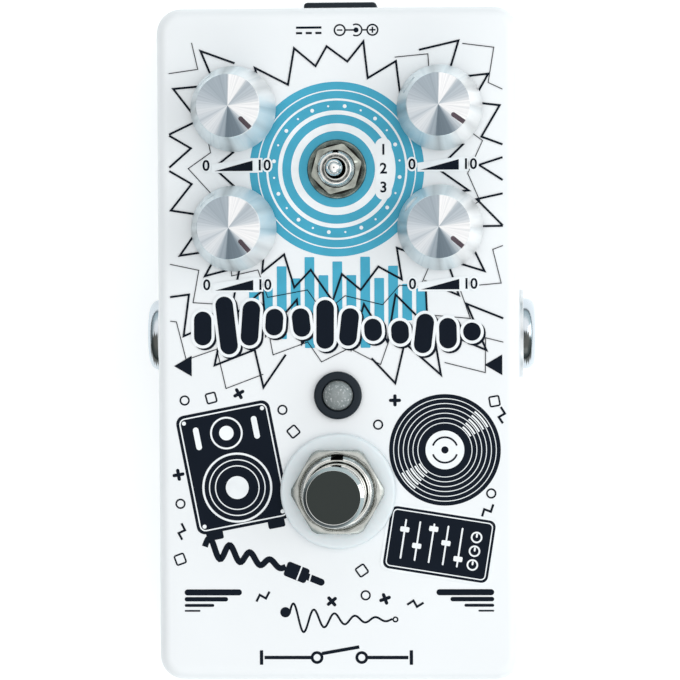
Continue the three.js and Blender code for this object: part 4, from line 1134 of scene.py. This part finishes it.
pin_low, pin_high = box_mm("power_socket_pin")
pin_radius, pin_round = 1.05, 0.7
pin = lathe("pin", [(0, pin_low.y), (pin_radius, pin_low.y), (pin_radius, pin_high.y - 0.9),
                    *arc((pin_radius - pin_round, pin_high.y - pin_round), pin_round, 0, 90), (0, pin_high.y)], 48)
dress(placed(pin, (0, 0, socket_middle.z), (-90, 0, 0)), "socket_pin", "box", bright_nickel, "nickel",
      "power_socket_pin")

# %% [markdown]
# ## Printing the face
# The face is screen printed. Ink has a body of a few hundredths of a millimetre, so each motif is a thin
# solid on the coat and no picture is needed. Fills are primitives with bevelled corners. Lines are
# drawn point by point, pulled up by the ink's thickness and made wide by a Solidify modifier. The design
# is a plain one on echo: ripples, zigzag rings, level bars and pulses that fade.

# %% Ink tools
ink_step = 0.04
ink_sink = 0.01
ink_nudge = 0.0006


def ink_top(layer):
    return face_height + ink_step * layer


def pill(centre, width, length, layer, tilt=0.0, corner=None):
    """An upright bar with round corners. Without a corner radius its ends are half round."""
    piece = block("pill", (-width / 2, -length / 2, face_height - ink_sink), (width / 2, length / 2, ink_top(layer)))
    bpy.ops.object.mode_set(mode="EDIT")
    round_edges(running(2, ink_sink), min(width, length) * 0.498 if corner is None else corner, 6)
    bpy.ops.object.mode_set(mode="OBJECT")
    return placed(piece, (*centre, 0), (0, 0, tilt))


def ring(centre, outer, inner, layer, steps=64):
    """A flat ring, or a disc where the inner radius is nothing."""
    low, high = face_height - ink_sink, ink_top(layer)
    section = [(inner, low), (outer, low), (outer, high), (inner, high)]
    return placed(lathe("ring", section, steps, closed=inner > 0), (*centre, 0))


# %% Drawn lines and patches
def start_drawing():
    """An empty mesh in edit mode, from a primitive whose corners are deleted."""
    bpy.ops.object.select_all(action="DESELECT")
    bpy.ops.mesh.primitive_plane_add(size=mm, location=(0, 0, 0))
    bpy.ops.object.mode_set(mode="EDIT")
    bpy.ops.mesh.select_mode(type="VERT")
    bpy.ops.mesh.select_all(action="SELECT")
    bpy.ops.mesh.delete(type="VERT")
    return bpy.context.object


def draw(points, lift=0.0):
    """In edit mode, adds a chain of edges through these places."""
    low = face_height - ink_sink + lift
    bpy.ops.mesh.select_all(action="DESELECT")
    bpy.ops.mesh.primitive_plane_add(size=mm, location=Vector((*points[0], low)) * mm)
    bpy.ops.mesh.merge(type="CENTER")
    for here, there in zip(points, points[1:]):
        move = Vector((there[0] - here[0], there[1] - here[1], 0)) * mm
        bpy.ops.mesh.extrude_vertices_move(TRANSFORM_OT_translate={"value": move})


def rise_of(layer):
    """The move from the underside of the ink to the top of a layer, in the form an operator takes."""
    return {"value": (0, 0, (ink_top(layer) - face_height + ink_sink) * mm)}


def lines(chains, width, layer):
    """Ink lines of one width, through the places of each chain."""
    piece = start_drawing()
    for number, chain in enumerate(chains):
        draw(chain, number * ink_nudge)
    bpy.ops.mesh.select_all(action="SELECT")
    bpy.ops.mesh.extrude_edges_move(TRANSFORM_OT_translate=rise_of(layer))
    bpy.ops.object.mode_set(mode="OBJECT")
    widen = piece.modifiers.new("widen", "SOLIDIFY")
    widen.thickness = width * mm
    widen.offset = 0
    widen.use_even_offset = True
    only(piece)
    bpy.ops.object.modifier_apply(modifier=widen.name)
    return piece


def patch(outline, layer):
    """A filled shape with this outline."""
    piece = start_drawing()
    draw([*outline, outline[0]])
    bpy.ops.mesh.select_all(action="SELECT")
    bpy.ops.mesh.remove_doubles(threshold=0.001 * mm)
    bpy.ops.mesh.edge_face_add()
    bpy.ops.mesh.extrude_region_move(TRANSFORM_OT_translate=rise_of(layer))
    bpy.ops.mesh.select_all(action="SELECT")
    bpy.ops.mesh.normals_make_consistent(inside=False)
    bpy.ops.object.mode_set(mode="OBJECT")
    return piece


# %% Figures, and joining a motif
def figures(text, centre, size, layer, grow=0.0):
    """Plain figures of this size, with their outline grown by this much."""
    bpy.ops.object.select_all(action="DESELECT")
    bpy.ops.object.text_add()
    piece = bpy.context.object
    half = (ink_top(layer) - face_height + ink_sink) / 2
    for setting, value in {"body": text, "size": size, "align_x": "CENTER", "align_y": "CENTER", "resolution_u": 4,
                           "offset": grow, "extrude": half}.items():
        setattr(piece.data, setting, value)
    bpy.ops.object.convert(target="MESH")
    piece.scale = (mm, mm, mm)
    return placed(piece, (*centre, ink_top(layer) - half))


def printed(name, ink, pieces, place=(0, 0), tilt=0.0):
    """Joins flat pieces to one motif, tilts it, moves it and prints it on the face.
    Each piece lies a hair higher than the last, so that crossing pieces never share a surface."""
    for number, piece in enumerate(pieces):
        placed(piece, (0, 0, number * ink_nudge))
    only(pieces[0])
    for piece in pieces:
        piece.select_set(True)
    if len(pieces) > 1:
        bpy.ops.object.join()
    return dress(placed(bpy.context.object, (*place, 0), (0, 0, tilt)), name, "box", ink, "white_paint")


# %% [markdown]
# ### Ripples and level bars
# A teal disc with white ripples lies round the toggle switch. Below it stands a row of teal bars like the
# peaks of a sound. Both are symmetric, and the bars' lengths come from a short list.

# %% Teal ripples and bars
disc_radius = 14.4
printed("teal_disc", teal_ink, [ring(toggle.xy, disc_radius, 0, 1, 128)])
ripples = [ring(toggle.xy, radius + width, radius, 2, 128)
           for radius, width in ((6.3, 1.25), (9.0, 0.7), (11.3, 0.35), (12.9, 0.2))]
dot_row, dot_count = 10.45, 24
for step in range(dot_count):
    turn = math.radians(360 / dot_count * (step + 0.5))
    spot = (toggle.x + dot_row * math.cos(turn), toggle.y + dot_row * math.sin(turn))
    ripples.append(ring(spot, 0.32 if step % 2 else 0.18, 0, 2, 16))
printed("white_ripples", white_ink, ripples)
bar_lengths = [13.5, 9.0, 15.0, 8.0, 12.0, 6.0, 4.5]
bar_pitch, bar_width, bar_row = 2.3, 1.6, 6.0
printed("teal_bars", teal_ink, [
    pill((step * bar_pitch, bar_row), bar_width, bar_lengths[abs(step)], 1.3, corner=0.12)
    for step in range(1 - len(bar_lengths), len(bar_lengths))])


# %% [markdown]
# ### Zigzag rings
# Thin jagged rings spread from the toggle switch over the upper half of the face. Each is a circle whose
# points swing in and out by a seeded amount. Strokes that would leave a frame at its top or bottom are
# left out, and those that cross its sides are cut there. Scraps that remain are left out too.

# %% Zigzag rings
frame_low, frame_high = (-27.7, -8.5), (27.3, 49.0)
shortest_stroke = 3.2


def clipped(chain):
    """Keeps a chain's strokes that lie between the frame's ends, and cuts them at its sides."""
    parts = []
    for here, there in zip(chain, chain[1:]):
        if min(here[1], there[1]) < frame_low[1] or max(here[1], there[1]) > frame_high[1]:
            continue
        start, end = 0.0, 1.0
        move = there[0] - here[0]
        for limit, sign in ((frame_low[0], 1), (frame_high[0], -1)):
            cross = (limit - here[0]) / move
            if sign * move > 0:
                start = max(start, cross)
            else:
                end = min(end, cross)
        if end - start < 0.02:
            continue
        cut = [tuple(here[axis] + (there[axis] - here[axis]) * part for axis in (0, 1)) for part in (start, end)]
        if parts and math.dist(parts[-1][-1], cut[0]) < 0.001:
            parts[-1].append(cut[1])
        else:
            parts.append(cut)
    return [part for part in parts if sum(math.dist(*pair) for pair in zip(part, part[1:])) > shortest_stroke]


def zigzag_ring(radius, peaks, swing, luck):
    points = []
    for step in range(2 * peaks + 1):
        turn = 2 * math.pi * (step + luck.uniform(-0.28, 0.28)) / (2 * peaks)
        reach = radius + (swing if step % 2 else -swing) * luck.uniform(0.45, 1.25)
        points.append((toggle.x + reach * math.cos(turn), toggle.y + reach * math.sin(turn)))
    points[-1] = points[0]
    return points


luck = random.Random(11)
for name, width, layer, rings in (
    ("zigzag_rings", 0.33, 3, ((19.0, 21, 2.6), (26.5, 27, 3.2), (34.5, 31, 3.4))),
    ("fine_zigzags", 0.13, 2.5, ((22.6, 17, 1.8), (30.6, 25, 2.2), (38.6, 29, 2.4))),
):
    chains = [part for radius, peaks, swing in rings for part in clipped(zigzag_ring(radius, peaks, swing, luck))]
    printed(name, black_ink, [lines(chains, width, layer)])

# %% [markdown]
# ### Fading pulses
# Across the middle run bold round pulses in three echoes, each weaker than the last. Every pulse is
# printed three times: a black edge that is shifted a little, white over it, and the black body on top.

# %% Fading pulses
echo_shape = [5.6, 9.6, 7.4, 4.4]
echo_loudness = [1.0, 0.84, 0.68]
pulse_start, pulse_row, pulse_pitch, echo_gap = -22.3, 1.8, 3.95, 0.5
pulse_width, white_border = 2.9, 0.5
edge_right, edge_down = 0.32, 0.3
edges, outlines, bodies = [], [], []
for number in range(len(echo_shape) * len(echo_loudness)):
    echo, pulse = divmod(number, len(echo_shape))
    length = max(echo_shape[pulse] * echo_loudness[echo], pulse_width + 0.01)
    place = (pulse_start + number * pulse_pitch + echo_gap * echo, pulse_row + math.sin(number * 0.5))
    tilt = 7 * math.sin(number * 1.9)
    wide, long = pulse_width + 2 * white_border, length + 2 * white_border
    edges.append(pill((place[0] + edge_right, place[1] - edge_down), wide, long, 4, tilt))
    outlines.append(pill(place, wide, long, 5, tilt))
    bodies.append(pill(place, pulse_width, length, 6, tilt))
printed("pulse_edges", black_ink, edges)
printed("pulse_outlines", white_ink, outlines)
printed("pulse_bodies", black_ink, bodies)

# %% [markdown]
# ### Marks at the controls
# A dial mark stands under each knob: nought, a wedge that grows, and ten. Plain figures stand beside the
# toggle switch, along the way its lever goes, one for each of its places. The usual signs for direct
# current and for the plug's poles are at the socket, and two triangles show which way the sound runs.

# %% Dial marks
mark_height, mark_grow, halo_grow = 2.45, 0.05, 0.34
mark_drop = 9.35
wedge = [(-3.2, -0.85), (3.1, -0.85), (3.1, 0.85)]
wedge_halo = [(-3.7, -1.15), (3.95, -1.15), (3.95, 1.25), (2.9, 1.25), (-3.7, 0.3)]
marks, halos = [], []
for knob_name in knob_names:
    place = middle_mm(f"{knob_name}_knob")
    low = place.y - mark_drop
    for text, across in (("0", -4.6), ("10", 4.9)):
        marks.append(figures(text, (place.x + across, low), mark_height, 5, mark_grow))
        halos.append(figures(text, (place.x + across, low), mark_height, 4, halo_grow))
    marks.append(patch([(place.x + across, low + along) for across, along in wedge], 5))
    halos.append(patch([(place.x + across, low + along) for across, along in wedge_halo], 4))
figures_x, figures_pitch = toggle.x + 7.7, 3.1
for text, step in (("1", 1), ("2", 0), ("3", -1)):
    marks.append(figures(text, (figures_x, toggle.y + step * figures_pitch), mark_height, 5, mark_grow))
halos.append(pill((figures_x, toggle.y), 2.7, 10.2, 4))
printed("dial_marks", black_ink, marks)
printed("dial_halos", white_ink, halos)

# %% Signs for the current and the sound's way
sign_y, dash_rise = 50.85, 0.45
minus_x, middle_x, plus_x = 0.6, 3.3, 6.0
signs = [ring((minus_x, sign_y), 1.0, 0.74, 1, 40), ring((plus_x, sign_y), 1.0, 0.74, 1, 40),
         ring((middle_x, sign_y), 0.42, 0, 1, 24)]
strokes = [oval((middle_x, sign_y), 0.95, 0.95, range(-120, 121, 15))]
strokes += [[(start, sign_y), (end, sign_y)] for start, end in ((1.6, 3.0), (4.37, 5.0), (0.15, 1.05), (5.5, 6.5))]
strokes.append([(plus_x, sign_y - 0.5), (plus_x, sign_y + 0.5)])
signs.append(lines(strokes, 0.24, 1))
signs.append(lines([[(-6.6, sign_y + dash_rise), (-2.4, sign_y + dash_rise)]], 0.36, 1))
signs.append(lines([[(start, sign_y - dash_rise), (start + 1.0, sign_y - dash_rise)]
                    for start in (-6.6, -5.0, -3.4)], 0.36, 1))
arrow_y, arrow_half, arrow_length = -4.4, 1.7, 2.9
for right in (-24.2, 27.1):
    signs.append(patch([(right, arrow_y + arrow_half), (right, arrow_y - arrow_half),
                        (right - arrow_length, arrow_y)], 2))
printed("way_signs", black_ink, signs)


# %% [markdown]
# ### Loudspeaker and cable
# Left of the footswitch is a loudspeaker box, and a cable that ends in a plug. The box is one black fill.
# Its cones, rim and screws are white lines over it, drawn upright about the origin and then tilted
# together.

# %% Loudspeaker
def rounded_frame(width, length, corner):
    points = []
    for across, along, start in ((1, 1, 0), (-1, 1, 90), (-1, -1, 180), (1, -1, 270)):
        middle = (across * (width / 2 - corner), along * (length / 2 - corner))
        points += arc(middle, corner, start, start + 90, 4)
    return [*points, points[0]]


speaker = {"place": (-17.4, -21.2), "tilt": 11}
printed("speaker_box", black_ink, [pill((0, 0), 15.8, 20.0, 1, corner=1.4)]
        + [pill((across, -10.4), 2.8, 1.6, 1, corner=0.3) for across in (-5.2, 5.2)], **speaker)
woofer_y, tweeter_y = -3.4, 5.8
cones = [ring((0, woofer_y), outer, inner, 2, steps)
         for outer, inner, steps in ((5.8, 5.45, 72), (4.7, 4.52, 72), (3.7, 3.52, 72), (1.9, 0, 40))]
cones += [ring((0, tweeter_y), 2.7, 2.4, 2, 48), ring((0, tweeter_y), 1.2, 0, 2, 32)]
cones += [ring((across, along), 0.34, 0, 2, 16) for across in (-6.6, 6.6) for along in (-8.7, 8.7)]
cones.append(lines([rounded_frame(14.6, 18.8, 0.9)], 0.22, 2))
cones += [pill((across, tweeter_y), 0.95, 3.8, 2) for across in (-4.9, 4.9)]
printed("speaker_lines", white_ink, cones, **speaker)

# %% Cable, plug and fading bars
cable_line = [(-22.2 + 13.4 * step / 60, -34.3 - 3.4 * step / 60 + 1.7 * math.sin(step * 0.42) * (1 - step / 75))
              for step in range(61)]
plug_tilt = 68
printed("cable_and_plug", black_ink, [lines([cable_line], 1.0, 1), pill((-7.0, -38.6), 2.5, 3.9, 1, plug_tilt, 0.45),
                                      pill((-4.0, -39.8), 1.15, 3.4, 1, plug_tilt)])
printed("plug_lines", white_ink, [lines([[(-6.1, -37.6), (-7.0, -39.9)], [(-4.6, -38.9), (-5.0, -40.3)]], 0.24, 2)])
fades = []
for number, (length, height) in enumerate(((9.5, 1.0), (7.2, 0.72), (4.9, 0.48), (2.6, 0.28))):
    along = -41.9 - 1.2 * number + 0.06 * number * number
    fades += [pill((side * (25.6 - length / 2), along), height, length, 1, 90) for side in (-1, 1)]
printed("fading_bars", black_ink, fades)

# %% [markdown]
# ### Record and mixer
# Right of the footswitch are a grooved record and a small mixer with sliders, made the same way. Small
# rings, squares, crosses and zigzags fill the space round both groups.

# %% Record
record = {"place": (17.6, -18.4)}
printed("record", black_ink, [ring((0, 0), 9.2, 0, 1, 96)], **record)
grooves = [ring((0, 0), radius + 0.13, radius, 2, 96) for radius in (8.4, 7.6, 6.8, 6.0, 5.2, 4.4)]
grooves.append(ring((0, 0), 3.2, 0.6, 2, 64))
grooves.append(lines([arc((0, 0), reach, start, start + 24, 6) for start in (28, 208)
                      for reach in (8.0, 7.2, 6.4, 5.6, 4.8)], 0.28, 2))
printed("record_lines", white_ink, grooves, **record)
printed("record_label", black_ink, [lines([arc((0, 0), 2.1, start, start + 140, 14) for start in (20, 200)], 0.3, 3)],
        **record)

# %% Mixer
mixer = {"place": (16.6, -34.0), "tilt": -9}
printed("mixer_edge", white_ink, [pill((0, 0), 18.4, 11.3, 2.5, corner=1.5)], **mixer)
printed("mixer", black_ink, [pill((0, 0), 17.5, 10.4, 3, corner=1.1)], **mixer)
sliders = [lines([rounded_frame(16.5, 9.4, 0.7)], 0.18, 4)]
for number, height in enumerate((1.6, -0.8, 2.4, 0.4, -1.9)):
    across = -6.0 + 2.35 * number
    sliders += [pill((across, 0), 0.28, 6.6, 4), pill((across, height), 1.5, 0.85, 5, corner=0.2)]
for along in (2.1, -0.2, -2.5):
    sliders += [ring((5.9, along), 0.95, 0.68, 4, 32), pill((5.9, along + 0.3), 0.3, 0.7, 4)]
printed("mixer_lines", white_ink, sliders, **mixer)

# %% Small shapes round both groups
circle_spots = ((-25.4, -10.1), (-9.2, -11.7), (-26.2, -27.2), (6.6, -14.2), (25.2, -25.6), (4.4, -42.4))
square_spots = ((-21.0, -9.7, 15), (-7.4, -15.3, 40), (-26.3, -36.4, 20), (25.8, -10.4, 10), (3.8, -38.3, 35))
cross_spots = ((-26.5, -22.4, 10), (-16.4, -9.0, 30), (9.4, -10.2, 0), (7.6, -43.0, 20), (-1.2, -43.4, 40))
bolt_spots = ((-26.0, -31.8, 75), (-12.6, -42.6, 20), (27.0, -12.7, 80), (24.6, -28.4, 30), (12.6, -43.8, -10))
sprinkles = [ring(spot, 0.85, 0.58, 1, 28) for spot in circle_spots]
for *spot, tilt in square_spots:
    sprinkles.append(placed(lines([rounded_frame(1.6, 1.6, 0.25)], 0.27, 1), (*spot, 0), (0, 0, tilt)))
for *spot, tilt in cross_spots:
    sprinkles += [pill(spot, 0.55, 2.0, 1, tilt), pill(spot, 0.55, 2.0, 1, tilt + 90)]
for *spot, tilt in bolt_spots:
    bolt = lines([[(-1.3, -0.4), (-0.4, 0.45), (0.35, -0.45), (1.3, 0.4)]], 0.36, 1)
    sprinkles.append(placed(bolt, (*spot, 0), (0, 0, tilt)))
printed("sprinkles", black_ink, sprinkles)

# %% [markdown]
# ### Fading wave and switch sign
# Low on the face a thin wave dies away, and under it is the usual sign for a switch contact. Both are
# lines with a ring or a dot at their ends.

# %% Fading wave and switch sign
wave = [(-8.2 + 17.0 * step / 150, -46.4 + 2.9 * math.exp(-step / 62) * math.sin(step * 0.2095 + 0.35))
        for step in range(151)]
foot_print = [lines([wave], 0.34, 1), ring((-8.9, -45.2), 0.85, 0, 1, 32), ring((9.3, -46.4), 0.5, 0.25, 1, 28)]
contact_y, contact_x = -52.7, 3.7
foot_print += [ring((across, contact_y), 1.05, 0.58, 1, 40) for across in (-contact_x, contact_x)]
foot_print.append(lines([[(-12.4, contact_y), (-4.7, contact_y)], [(4.7, contact_y), (11.4, contact_y)],
                         [(-2.9, contact_y + 0.65), (3.3, contact_y + 1.75)]], 0.55, 1))
foot_print += [pill((across, contact_y), 0.55, 2.4, 1, corner=0.1) for across in (-12.9, 11.9)]
printed("wave_and_contact", black_ink, foot_print)

# %% [markdown]
# ## Pieces that stay as the frame has them
# The boards, potentiometers, shafts and other inner pieces are hidden when the pedal is whole. Their
# solids are kept and only get their finish.

# %% Finishes of the inner pieces
inner_finishes = {
    green_board: ["main_board", "switch_board"],
    black_plastic: ["delay_chip", "amplifier_chip"],
    grey_cable: ["ribbon_cable"],
    can_aluminium: ["capacitor_1", "capacitor_2"],
    blue_plastic: ["footswitch_case", *[f"{knob_name}_pot" for knob_name in knob_names]],
    bright_nickel: ["footswitch_lock_nut", *[f"{knob_name}_pot_nut" for knob_name in knob_names]],
    spring_brass: ["input_jack_contact", "output_jack_contact"],
    zinc_steel: [f"{knob_name}_{part}" for knob_name in knob_names for part in ("shaft", "grub_screw")],
}
for finish, nodes in inner_finishes.items():
    for node in nodes:
        kept = frame["nodes"][node]
        kept.data.materials.clear()
        kept.data.materials.append(finish.material)
print("inner pieces with a finish:", sum(len(nodes) for nodes in inner_finishes.values()))
